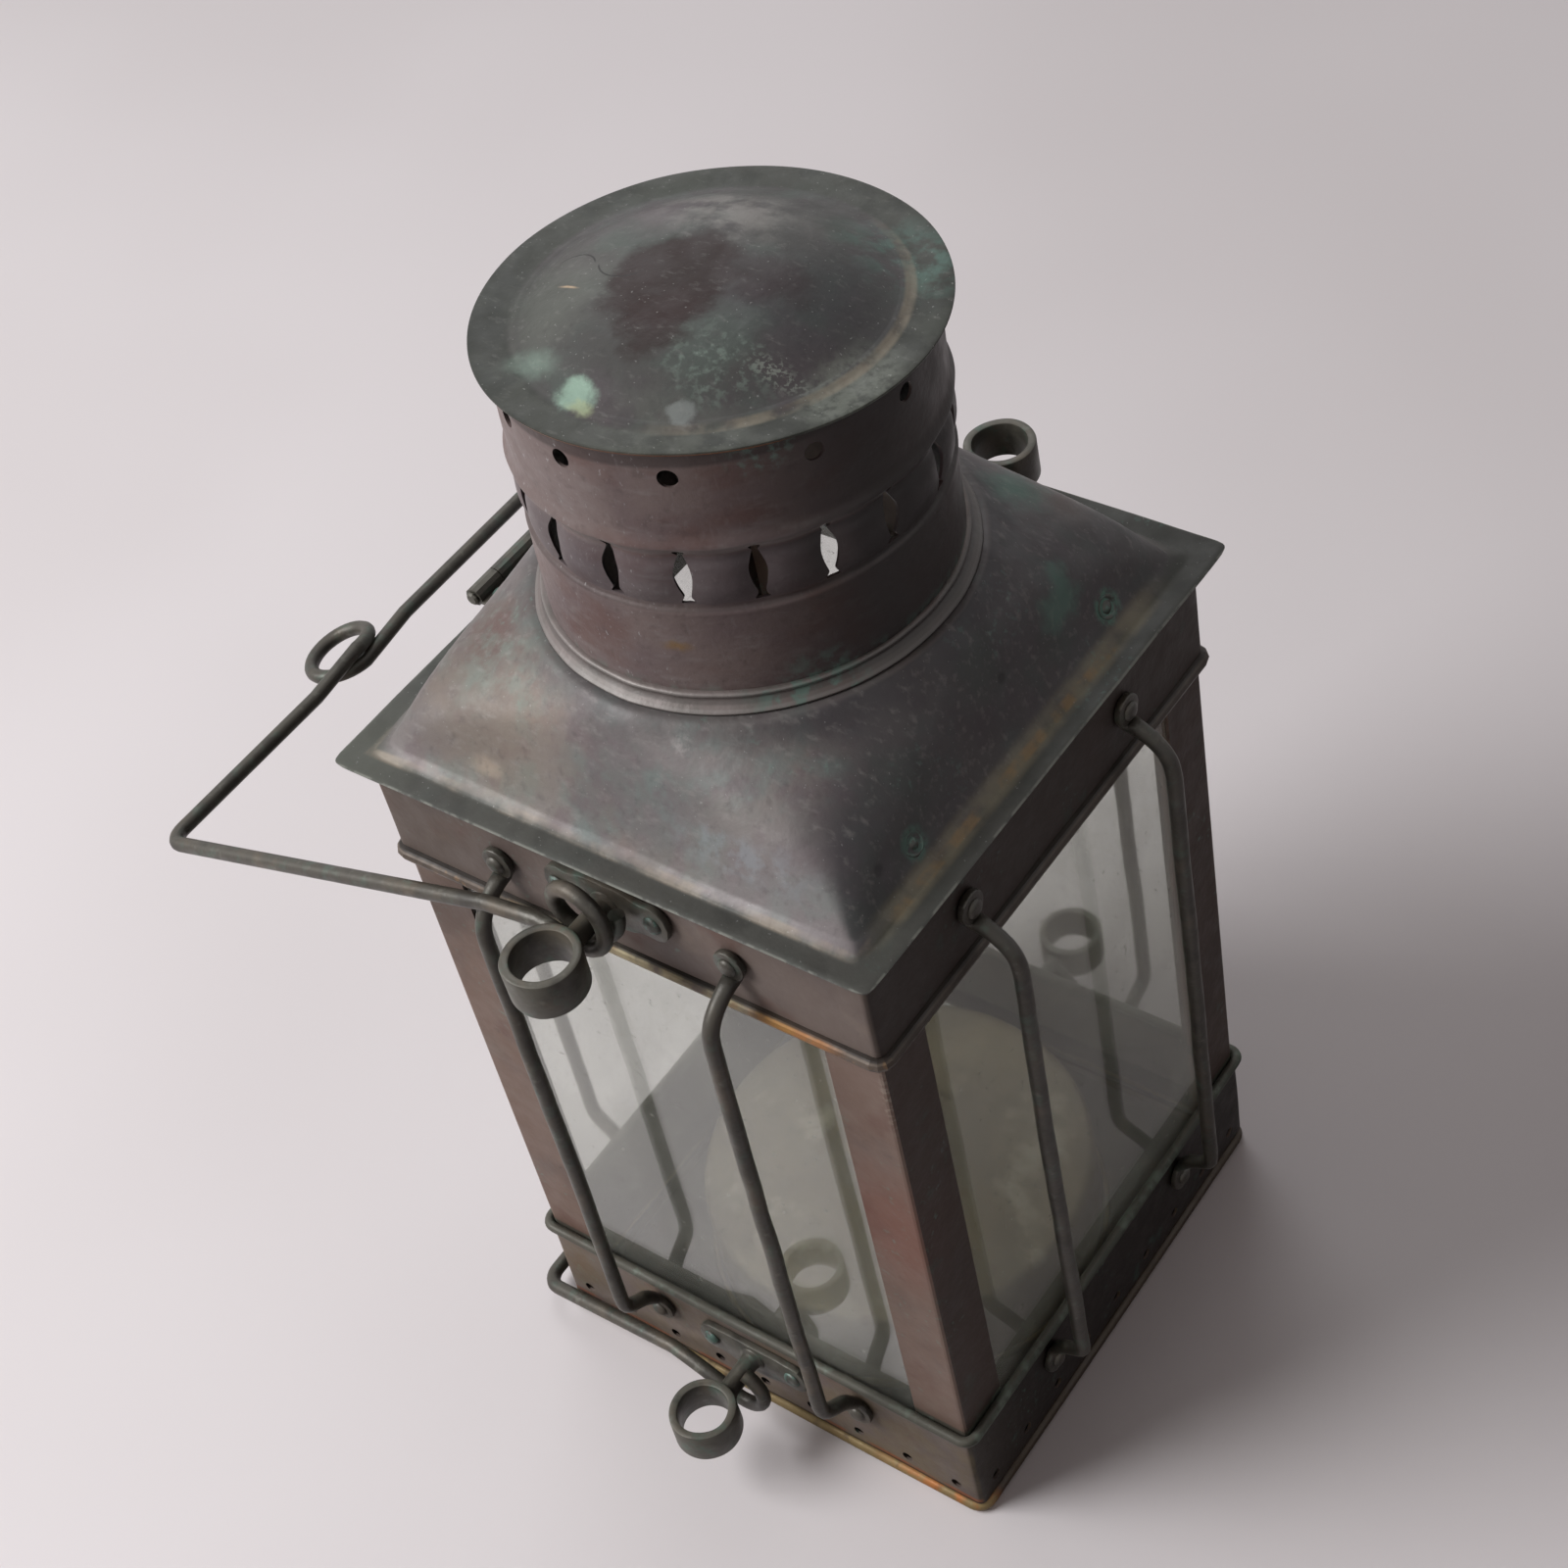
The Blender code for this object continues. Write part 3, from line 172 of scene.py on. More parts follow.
def cut_out(name, outline, thickness):
    """An (x, z) outline filled and extruded towards -Y from y = 0."""
    piece = drawn(name, [(x, 0.0, z) for x, z in outline])
    edit(piece)
    bpy.ops.mesh.edge_face_add()
    bpy.ops.mesh.extrude_region_move(TRANSFORM_OT_translate={"value": (0, -thickness, 0)})
    return mended(piece)


def rolled(name, rings, ends=False):
    """Closed rings of equal counts, joined in order, begun as a primitive grid."""
    clear()
    across = len(rings[0])
    bpy.ops.mesh.primitive_grid_add(x_subdivisions=across, y_subdivisions=len(rings) - 1)
    piece = named(name)
    for i, vert in enumerate(piece.data.vertices):
        row, column = divmod(i, across + 1)
        vert.co = rings[row][column % across]
    if ends:
        edit(piece)
        bpy.ops.mesh.remove_doubles(threshold=1e-7)
        bpy.ops.mesh.select_all(action="DESELECT")
        bpy.ops.mesh.select_mode(type="EDGE")
        bpy.ops.mesh.select_non_manifold()
        bpy.ops.mesh.fill_holes(sides=0)
        bpy.ops.mesh.select_mode(type="VERT")
    return mended(piece)


def wire(name, points, radius, closed=False, rings=3):
    """Round wire along points, as a bevelled curve made a mesh."""
    clear()
    bpy.ops.curve.primitive_nurbs_path_add()
    item = named(name)
    item.data.splines.clear()
    spline = item.data.splines.new("POLY")
    spline.points.add(len(points) - 1)
    for point, place in zip(spline.points, points):
        point.co = (*place, 1.0)
    spline.use_cyclic_u = closed
    item.data.dimensions = "3D"
    item.data.bevel_depth = radius
    item.data.bevel_resolution = rings
    item.data.use_fill_caps = not closed
    choose(item)
    bpy.ops.object.convert(target="MESH")
    return mended(named(name))


def eased(points, steps):
    """Points on a smooth curve through the given points."""
    result = []
    last = len(points) - 1
    for i in range(last):
        four = (points[max(i - 1, 0)], points[i], points[i + 1], points[min(i + 2, last)])
        for step in range(steps):
            t = step / steps
            result.append(tuple(
                0.5 * (2 * b + (c - a) * t + (2 * a - 5 * b + 4 * c - d) * t ** 2
                       + (3 * b - a - 3 * c + d) * t ** 3)
                for a, b, c, d in zip(*four)))
    result.append(tuple(points[last]))
    return result


def joined(name, *pieces):
    choose(*pieces)
    bpy.ops.object.join()
    piece = named(name)
    clear()
    return piece


def moved(piece, place):
    """Puts a piece in place and applies it, so that its object stays at the origin."""
    choose(piece)
    piece.matrix_world = place
    bpy.ops.object.transform_apply(location=True, rotation=True, scale=True)
    clear()
    return piece


def copied(piece, name):
    choose(piece)
    bpy.ops.object.duplicate()
    copy = named(name)
    clear()
    return copy


def removed(piece):
    choose(piece)
    bpy.ops.object.delete()


def bored(piece, tool):
    """Cuts the tool out of the piece, and takes the tool away."""
    modified(piece, "BOOLEAN", operation="DIFFERENCE", object=tool, solver="EXACT")
    removed(tool)
    return piece


def pushed(piece, shift):
    """Moves every point of a mesh by what shift says for its place."""
    for vert in piece.data.vertices:
        vert.co += shift(vert.co)
    piece.data.update()
    return piece


def unrest(place, size, seed):
    """A smooth random vector that changes over a distance of size."""
    return noise.noise_vector(Vector(place) / size + Vector((seed, 2.3 * seed, 0.7 * seed)))


def uneven(piece, depth, size, seed, flat=1.0):
    """Slight waves of hand-beaten sheet. Flat takes some off the movement along Z."""
    def shift(place):
        move = unrest(place, size, seed) * depth
        move.z *= flat
        return move
    return pushed(piece, shift)


def fitted(piece, material, body, slot, *nodes):
    """Finishes a piece, rides it on its body and puts it in place of its solids."""
    piece.data.materials.clear()
    piece.data.materials.append(material)
    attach(piece, body)
    if nodes:
        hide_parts(*nodes)
    return piece


def coated(material, *nodes):
    """Gives solids that stay their finish."""
    for name in nodes:
        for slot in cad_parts[name].material_slots:
            slot.material = material


def clipped(share):
    return min(1.0, max(0.0, share))


def block(name, centre, size):
    """A box of that size round a point."""
    clear()
    bpy.ops.mesh.primitive_cube_add(size=1, location=centre, scale=size)
    piece = named(name)
    bpy.ops.object.transform_apply(location=True, rotation=True, scale=True)
    return piece


def to_front(piece, out, height):
    """Turns what stands on z = 0 to look towards -Y, that far out from the middle."""
    return moved(piece, Matrix.Translation((0, -out, height)) @ Matrix.Rotation(pi / 2, 4, "X"))


def facing(place, out):
    """Puts what stands on z = 0 at a place, turned to look out."""
    turn = Vector((0, 0, 1)).rotation_difference(out).to_matrix().to_4x4()
    return Matrix.Translation(place) @ turn


def middle_of(name):
    low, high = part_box(name)
    return Vector([(a + b) / 2 for a, b in zip(low, high)])


# Heights of the studs that the two bails hang on.
TOP_PIVOT = middle_of("guide_bracket_top_front")[2]
LOW_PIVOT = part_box("guide_bracket_bottom_front")[0][2] + 0.0082


# --- sizes and colours ------------------------------------------------------------------
class LanternSizes(bpy.types.PropertyGroup):
    sheet: length("Sheet", "Thickness of the sheet copper", 0.0009)
    flange_half: length("Flange", "Half the width of the roof flange", ROOF[1][0])
    dome_half: length("Dome foot", "Half the width of the roof's pressed dome", 0.0820)
    seat_radius: length("Chimney seat", "Radius of the flat seat on the roof", 0.0612)
    chimney_radius: length("Chimney", "Radius of the chimney tube", 0.0565)
    chimney_wall: length("Chimney wall", "Thickness of the chimney's sheet", 0.0008)
    slot_half_height: length("Slot height", "Half the height of a chimney slot", 0.0088)
    slot_half_width: length("Slot width", "Half the width of a chimney slot", 0.0024)
    hole_radius: length("Holes", "Radius of the round holes under the cap", 0.0026)
    cap_radius: length("Cap", "Radius of the cap", CAP[1][0] + 0.0008)
    cap_rim: length("Cap rim", "Width of the cap's flat rim", 0.0114)
    cap_rise: length("Cap dome", "Rise of the cap's dome over its rim", 0.0108)
    corner: length("Corners", "Bending radius of the case's sheets", 0.0016)
    wired_edge: length("Wired edge", "Radius of the lower band's wired edge", 0.0017)
    band_lift: length("Band lift", "How far the lower band stands above its solid", 0.0063)
    base_roll: length("Base roll", "Radius of the base pan's rolled edge", 0.0020)
    wire: length("Wire", "Radius of the bails' and guards' wire", 0.0024)
    ear: length("Ear", "Radius of a guard's flattened end", 0.0050)
    foot_lift: length("Foot lift", "How far a guard's lower ear stands above its solid", 0.0055)
    ear_thickness: length("Ear thickness", "Thickness of a guard's flattened end", 0.0023)
    rivet_head: length("Rivet head", "Radius of a rivet head", 0.0029)
    rivet_rise: length("Rivet rise", "Height of a rivet head", 0.0015)
    ring_outer: length("Ring", "Outer radius of the guide rings", 0.0111)
    ring_bore: length("Ring bore", "Inner radius of the guide rings", 0.0084)
    ring_height: length("Ring height", "Height of the guide rings", 0.0125)
    ring_reach: length("Ring reach", "Middle of a guide ring to the band", 0.0280)
    stud: length("Stud", "Radius of the studs that the bails hang on", 0.00325)
    plate: length("Plate", "Thickness of the brackets' plates", 0.0023)


class LanternColours(bpy.types.PropertyGroup):
    roof: shade("Roof", "Grey brown patina of the roof", "#77716e")
    chimney: shade("Chimney", "Violet brown patina of the chimney", "#70625f")
    cap: shade("Cap", "Grey patina of the cap", "#464543")
    band: shade("Bands", "Brown patina of the bands", "#6e625c")
    post: shade("Posts", "Reddish patina of the corner posts", "#78645a")
    wire: shade("Wire", "Dark olive patina of the wire work", "#47433c")
    casting: shade("Castings", "Grey olive patina of the castings", "#55524a")
    verdigris: shade("Verdigris", "Pale green copper salts", "#6f9186")
    bright: shade("Bright copper", "Rubbed golden copper", "#84714c")
    pan: shade("Base pan", "Grey brown patina of the base pan", "#5c5a56")
    glass: shade("Glass", "Slightly green old glass", "#fafcf9")
    tin: shade("Tinplate", "Stained tinplate of the oil font", "#7d725d")
    floor: shade("Floor", "Pale studio floor", "#ded8d9")


# --- finishes ---------------------------------------------------------------------------
def node(tree, kind, inputs=None, **settings):
    """Adds a node, sets its options, and sets or links its inputs."""
    item = tree.nodes.new(kind)
    for key, value in settings.items():
        setattr(item, key, value)
    for key, value in (inputs or {}).items():
        if isinstance(value, bpy.types.NodeSocket):
            tree.links.new(value, item.inputs[key])
        else:
            item.inputs[key].default_value = value
    return item


def colour(name):
    return tuple(getattr(bpy.context.scene.lantern_colours, name))


def places(tree, stretch=(1.0, 1.0, 1.0), shift=(0.0, 0.0, 0.0)):
    """The piece's own coordinates, stretched or shifted."""
    source = node(tree, "ShaderNodeTexCoord")
    moved_to = node(tree, "ShaderNodeMapping",
                    {"Vector": source.outputs["Object"], "Location": shift, "Scale": stretch})
    return moved_to.outputs["Vector"]


def mask(maker):
    """Lets a mask be described by its values first, and be made in a material's tree later."""
    def described(*values, **options):
        return lambda tree: maker(tree, *values, **options)
    return described


@mask
def cloud(tree, size, low, high, seed=0.0, detail=4.0, stretch=(1.0, 1.0, 1.0), rough=0.55):
    """A 0 to 1 mask of patches about size millimetres across. Low and high set how many."""
    pattern = node(tree, "ShaderNodeTexNoise",
                   {"Vector": places(tree, stretch, (seed, 0.37 * seed, 0.71 * seed)),
                    "Scale": 1000.0 / size, "Detail": detail, "Roughness": rough})
    return node(tree, "ShaderNodeMapRange",
                {"Value": pattern.outputs["Fac"], "From Min": low, "From Max": high},
                interpolation_type="SMOOTHSTEP").outputs["Result"]


def wavering(tree, amount, size=6.0):
    """The piece's coordinates, shaken by up to half of amount metres, for ragged edges."""
    pattern = node(tree, "ShaderNodeTexNoise", {"Vector": places(tree), "Scale": 1000.0 / size,
                                                "Detail": 4.0, "Roughness": 0.6})
    middle = node(tree, "ShaderNodeVectorMath", {0: pattern.outputs["Color"], 1: (0.5, 0.5, 0.5)},
                  operation="SUBTRACT")
    shaken = node(tree, "ShaderNodeVectorMath", {0: middle.outputs["Vector"], 1: (amount,) * 3,
                                                 2: places(tree)}, operation="MULTIPLY_ADD")
    return shaken.outputs["Vector"]


def ramp(tree, value, start, end, low=0.0, high=1.0):
    """Goes smoothly from low at start to high at end."""
    return node(tree, "ShaderNodeMapRange",
                {"Value": value, "From Min": start, "From Max": end, "To Min": low, "To Max": high},
                interpolation_type="SMOOTHSTEP").outputs["Result"]


@mask
def near(tree, centre, inner, outer, stretch=(1.0, 1.0, 1.0), ragged=0.0):
    """A mask that is 1 within inner metres of a point and 0 beyond outer."""
    start = wavering(tree, ragged) if ragged else places(tree)
    gap = node(tree, "ShaderNodeVectorMath", {0: start, 1: centre}, operation="SUBTRACT")
    wide = node(tree, "ShaderNodeVectorMath", {0: gap.outputs["Vector"], 1: stretch},
                operation="MULTIPLY")
    far = node(tree, "ShaderNodeVectorMath", {0: wide.outputs["Vector"]}, operation="LENGTH")
    return ramp(tree, far.outputs["Value"], inner, outer, 1.0, 0.0)


@mask
def ring_line(tree, centre, radius, width):
    """A mask along a level circle."""
    gap = node(tree, "ShaderNodeVectorMath", {0: places(tree), 1: centre}, operation="SUBTRACT")
    flat = node(tree, "ShaderNodeVectorMath", {0: gap.outputs["Vector"], 1: (1, 1, 0)},
                operation="MULTIPLY")
    far = node(tree, "ShaderNodeVectorMath", {0: flat.outputs["Vector"]}, operation="LENGTH")
    off = node(tree, "ShaderNodeMath", {0: far.outputs["Value"], 1: radius}, operation="SUBTRACT")
    size = node(tree, "ShaderNodeMath", {0: off.outputs["Value"]}, operation="ABSOLUTE")
    return ramp(tree, size.outputs["Value"], width * 0.4, width, 1.0, 0.0)


@mask
def square_line(tree, half, width, both_ways=True):
    """A mask along a square of that half width, or for all that is outside it."""
    far = node(tree, "ShaderNodeVectorMath", {0: places(tree)}, operation="ABSOLUTE")
    parts = node(tree, "ShaderNodeSeparateXYZ", {"Vector": far.outputs["Vector"]})
    most = node(tree, "ShaderNodeMath", {0: parts.outputs["X"], 1: parts.outputs["Y"]},
                operation="MAXIMUM")
    off = node(tree, "ShaderNodeMath", {0: most.outputs["Value"], 1: half}, operation="SUBTRACT")
    if not both_ways:
        return ramp(tree, off.outputs["Value"], -width, 0.0)
    size = node(tree, "ShaderNodeMath", {0: off.outputs["Value"]}, operation="ABSOLUTE")
    return ramp(tree, size.outputs["Value"], width * 0.4, width, 1.0, 0.0)


@mask
def level(tree, axis, start, end):
    """A mask that goes from 0 at start to 1 at end along one axis, in metres."""
    parts = node(tree, "ShaderNodeSeparateXYZ", {"Vector": places(tree)})
    return ramp(tree, parts.outputs[axis], start, end)


@mask
def between(tree, axis, low, high, soft=0.0003):
    """A mask for what lies between two planes."""
    return both(level(axis, low - soft, low), less(level(axis, high, high + soft)))(tree)


@mask
def turned(tree, direction, start, end):
    """A mask for faces that look in one direction."""
    source = node(tree, "ShaderNodeTexCoord")
    share = node(tree, "ShaderNodeVectorMath", {0: source.outputs["Normal"], 1: direction},
                 operation="DOT_PRODUCT")
    return ramp(tree, share.outputs["Value"], start, end)


def inward(tree):
    """A mask for faces that look towards the lantern's middle line."""
    source = node(tree, "ShaderNodeTexCoord")
    flat = node(tree, "ShaderNodeVectorMath", {0: source.outputs["Object"], 1: (1, 1, 0)},
                operation="MULTIPLY")
    share = node(tree, "ShaderNodeVectorMath", {0: source.outputs["Normal"], 1: flat.outputs["Vector"]},
                 operation="DOT_PRODUCT")
    return ramp(tree, share.outputs["Value"], -0.004, -0.012)


@mask
def both(tree, first, *others):
    """A mask for what all of these masks cover."""
    result = first(tree)
    for other in others:
        result = sums(tree, "MULTIPLY", result, other(tree))
    return result


@mask
def less(tree, other):
    """A mask for what another mask leaves out."""
    return sums(tree, "SUBTRACT", 1.0, other(tree))


def sums(tree, operation, one, two):
    return node(tree, "ShaderNodeMath", {0: one, 1: two}, operation=operation,
                use_clamp=True).outputs["Value"]


def layered(tree, ground, layers):
    """Lays colours over the ground. Layers are (hex code or colour, mask, strength)."""
    result = ground
    for tint, where, strength in layers:
        factor = sums(tree, "MULTIPLY", where(tree), strength)
        mix = node(tree, "ShaderNodeMix",
                   {0: factor, 6: result, 7: linear(tint) if isinstance(tint, str) else tint},
                   data_type="RGBA")
        result = mix.outputs[2]
    return result


def aged_metal(name, ground, layers, gloss, sheen_of_metal, relief, shine=0.3):
    """A patinated metal. Gloss is the lowest and highest roughness, and relief holds the height
    in metres and the size in millimetres of each kind of bump in its surface."""
    material = bpy.data.materials.new(name)
    material.use_nodes = True
    tree = material.node_tree
    shader = tree.nodes["Principled BSDF"]
    tree.links.new(layered(tree, ground, layers), shader.inputs["Base Color"])
    shader.inputs["Metallic"].default_value = sheen_of_metal
    shader.inputs["Specular IOR Level"].default_value = shine
    wear = node(tree, "ShaderNodeMapRange",
                {"Value": cloud(9.0, 0.3, 0.7, 5.1)(tree), "To Min": gloss[0], "To Max": gloss[1]})
    tree.links.new(wear.outputs["Result"], shader.inputs["Roughness"])
    normal = None
    for i, (height, size) in enumerate(relief):
        bump = node(tree, "ShaderNodeBump",
                    {"Height": cloud(size, 0.2, 0.8, 3.3 + i)(tree), "Distance": height,
                     "Strength": 1.0})
        if normal is not None:
            tree.links.new(normal, bump.inputs["Normal"])
        normal = bump.outputs["Normal"]
    tree.links.new(normal, shader.inputs["Normal"])
    return material


# Finishes carry painted shade on faces that look this way, on top of what the lamps leave dark.
SHADE_SIDE = (0.9, 0.42, 0.0)


def roof_finish():
    """Pressed sheet copper, browned by age and scoured by hand: a soft sheen in mottled greys, with
    painted highlights on the front slope and along the fold, and painted shade on the right and round
    the collar.
    """
    green = colour("verdigris")
    fold = ROOF[0][2] + 0.0009
    layers = [
        ("#655d62", cloud(60.0, 0.40, 0.64, 1.0, 3.0), 0.60),
        ("#666c66", cloud(34.0, 0.48, 0.68, 2.0, 5.0), 0.55),
        ("#7d6c64", cloud(42.0, 0.50, 0.70, 7.0, 5.0), 0.50),
        ("#6d7a76", cloud(13.0, 0.50, 0.68, 22.0, 6.0), 0.50),
        ("#66585c", cloud(10.0, 0.50, 0.68, 26.0, 6.0), 0.55),
        ("#8d7b66", near((-0.043, -0.070, 0.288), 0.004, 0.034, (0.8, 1, 1), 0.022), 0.34),
        # Painted shade on the left of the front slope.
        ("#58554e", near((-0.060, -0.052, 0.288), 0.008, 0.046, ragged=0.016), 0.40),
        # Painted highlight: a small glint in the tan patch.
        ("#b7a491", near((-0.041, -0.0766, 0.2771), 0.0004, 0.0042, (0.5, 1, 1), 0.004), 0.4),
        ("#5b423e", near((-0.055, -0.048, 0.298), 0.003, 0.017, ragged=0.014), 0.6),
        ("#74857c", both(near((-0.040, -0.055, 0.3005), 0.004, 0.024, (0.6, 1, 1), 0.014),
         cloud(7.0, 0.42, 0.62, 19.0, 5.0)), 0.45),
        ("#748378", near((-0.080, -0.045, 0.275), 0.003, 0.020, ragged=0.012), 0.5),
        # Painted highlights: a pale dot, a bright patch near the front right corner and a bluish
        # streak.
        ("#9c9694", both(near((0.0211, -0.0631, 0.3016), 0.0018, 0.0036, ragged=0.004),
         cloud(1.6, 0.40, 0.60, 6.0, 3.0)), 0.5),
        ("#8f8987", near((0.052, -0.078, 0.277), 0.006, 0.030, (0.8, 1, 1.2), 0.014), 0.35),
        ("#8f959a", both(near((0.043, -0.0745, 0.2816), 0.002, 0.016, (0.5, 1, 2), 0.010),
         cloud(5.0, 0.42, 0.62, 23.0, 5.0)), 0.5),
        ("#4a4245", near((0.0647, -0.0625, 0.2894), 0.004, 0.020, ragged=0.010), 0.5),
        # Dirt and painted shadow in a ring round the foot of the collar.
        ("#464343", near((0.0, 0.0, 0.3057), 0.0615, 0.0720, ragged=0.010), 0.60),
        # Painted shade on faces turned to the right; the second layer is green grey mottling there as
        # well as shade.
        ("#2d2a2e", turned((1.0, 0.12, 0.0), 0.14, 0.48), 0.76),
        ("#3a3f3c", both(turned((1.0, 0.0, 0.0), 0.2, 0.5), cloud(24.0, 0.5, 0.66, 17.0, 5.0)), 0.5),
        ("#9a9592", cloud(2.4, 0.52, 0.76, 4.0, 5.0, (0.5, 1.0, 1.0)), 0.24),
        ("#433d3e", cloud(3.2, 0.52, 0.76, 9.0, 5.0), 0.32),
        ("#3f403b", flange_mask, 0.9),
        ("#2b2b28", both(flange_mask, cloud(16.0, 0.46, 0.66, 3.0, 5.0)), 0.5),
        ("#272824", near((0.088, 0.088, 0.2696), 0.010, 0.050, ragged=0.010), 0.35),
        ("#51534b", both(flange_mask, near((-0.086, -0.086, 0.2696), 0.004, 0.030, ragged=0.010)), 0.6),
        # Painted highlights along the fold at the dome's foot: pale tan on the front, golden tan on the
        # right.
        ("#998b7b", both(square_line(0.0820, 0.0018), less(level("Y", -0.078, -0.070)),
         between("Z", fold + 0.0001, fold + 0.0014, 0.0009), cloud(16.0, 0.40, 0.66, 8.0, 5.0)), 0.50),
        ("#87806c", both(square_line(0.0820, 0.0040), level("X", 0.074, 0.079),
         between("Z", fold + 0.0002, fold + 0.0030, 0.0020), between("Y", -0.060, 0.052, 0.020),
         cloud(12.0, 0.24, 0.60, 6.0, 5.0)), 0.60),
        ("#9b7b50", both(square_line(0.0822, 0.0018), level("X", 0.074, 0.079),
         between("Y", -0.056, 0.036, 0.018), cloud(9.0, 0.46, 0.66, 6.0, 5.0)), 0.45),
        ("#7f8078", both(square_line(0.0897, 0.0005, False), cloud(6.0, 0.40, 0.55, 2.0, 5.0)), 0.6),
        ("#57756b", near((0.0721, 0.0330, 0.288), 0.002, 0.008, (1, 0.7, 1), 0.012), 0.6),
        ("#57756b", near((0.0685, 0.0380, 0.293), 0.001, 0.006, ragged=0.010), 0.5),
        ("#4f7a6c", near((0.044, 0.060, 0.300), 0.001, 0.014, ragged=0.012), 0.55),
        ("#5b7f72", both(near((0.0775, 0.0475, 0.277), 0.0036, 0.0062, ragged=0.003),
         cloud(2.5, 0.35, 0.55, 6.0, 5.0)), 0.75),
        ("#4d6a60", both(near((0.0775, -0.0475, 0.277), 0.0034, 0.0058, ragged=0.003),
         cloud(2.5, 0.35, 0.55, 16.0, 5.0)), 0.7),
        # Dark spots in three small dents: painted shade.
        ("#1f1c1d", near((0.0557, 0.0342, 0.303), 0.0008, 0.0024, ragged=0.001), 0.8),
        ("#1f1c1d", near((0.0723, 0.0036, 0.2873), 0.0008, 0.0022, ragged=0.001), 0.8),
        ("#1f1c1d", near((0.0756, -0.0607, 0.2792), 0.0008, 0.0024, ragged=0.001), 0.8),
        (green, both(cloud(40.0, 0.56, 0.66, 11.0, 4.0), cloud(2.2, 0.56, 0.66, 3.0, 5.0)), 0.30),
        ("#b4b4b2", cloud(1.0, 0.74, 0.78, 31.0, 1.0), 0.25),
    ]
    return aged_metal("scoured_brown_sheet_copper_roof", colour("roof"), layers, (0.44, 0.60), 0.12,
                      [(0.00030, 30.0), (0.00005, 2.4)])


def flange_mask(tree):
    """The flat flange, which holds green grey dirt."""
    top = ROOF[0][2] + 0.0009
    return less(level("Z", top + 0.0002, top + 0.0016))(tree)


def chimney_finish():
    """Rolled sheet copper tube: violet brown, with a painted highlight on the bead above the slots and
    painted shade round the slots, in the crease below them and under the cap.
    """
    foot = CHIMNEY[0][2] + 0.011
    middle = SLOT_MIDDLE
    green = colour("verdigris")
    layers = [
        ("#54464a", cloud(40.0, 0.42, 0.65, 1.5, 3.0), 0.50),
        ("#5b403a", cloud(30.0, 0.48, 0.66, 3.5, 4.0, (1.0, 1.0, 1.6)), 0.60),
        ("#7d7472", cloud(9.0, 0.50, 0.74, 5.0, 6.0, (1.0, 1.0, 3.0)), 0.50),
        ("#3d3230", cloud(3.0, 0.52, 0.74, 14.0, 5.0), 0.30),
        # Painted highlight on the bead above the slots; painted shade over the slot band, in the crease
        # below it and under the cap.
        ("#938c8b", between("Z", middle + 0.0084, middle + 0.0100, 0.0014), 0.45),
        ("#47454b", between("Z", middle - 0.0080, middle + 0.0060, 0.0015), 0.45),
        ("#2e2726", between("Z", middle - 0.0104, middle - 0.0096, 0.0010), 0.50),
        ("#2b2322", between("Z", CHIMNEY[1][2] - 0.0022, CHIMNEY[1][2], 0.0015), 0.65),
        ("#8a8684", cloud(1.4, 0.58, 0.74, 12.0, 3.0, (1.0, 1.0, 0.3)), 0.14),
        ("#7b5f38", near((0.0181, -0.0541, 0.3257), 0.0006, 0.0036, (0.6, 0.6, 1.4), 0.005), 0.75),
        # Painted shade on the shade side.
        ("#110d0c", turned(SHADE_SIDE, 0.12, 0.80), 0.92),
        (green, both(near((0.0459, -0.0338, 0.309), 0.003, 0.016, (1, 1, 1.3), 0.014),
         cloud(3.4, 0.42, 0.62, 3.0, 6.0)), 0.42),
        (green, both(near((0.0444, -0.0357, 0.3835), 0.002, 0.013, (1, 1, 1.5), 0.010),
         cloud(2.8, 0.46, 0.66, 8.0, 6.0)), 0.50),
        (green, both(less(level("Z", foot - 0.002, foot + 0.004)),
         cloud(4.0, 0.46, 0.62, 21.0, 6.0)), 0.30),
        # Pale dust flecks, painted only away from the shade side, where they catch the light.
        ("#a9a7a8", both(less(turned(SHADE_SIDE, -0.4, 0.2)),
         cloud(1.1, 0.66, 0.74, 2.0, 2.0, (1.0, 1.0, 0.5))), 0.45),
        # Near black inside the tube: soot and painted shade.
        ("#0b0908", inward, 0.97),
    ]
    return aged_metal("brown_rolled_copper_chimney", colour("chimney"), layers, (0.40, 0.55),
                      0.15, [(0.00020, 22.0), (0.00004, 1.6)], 0.28)


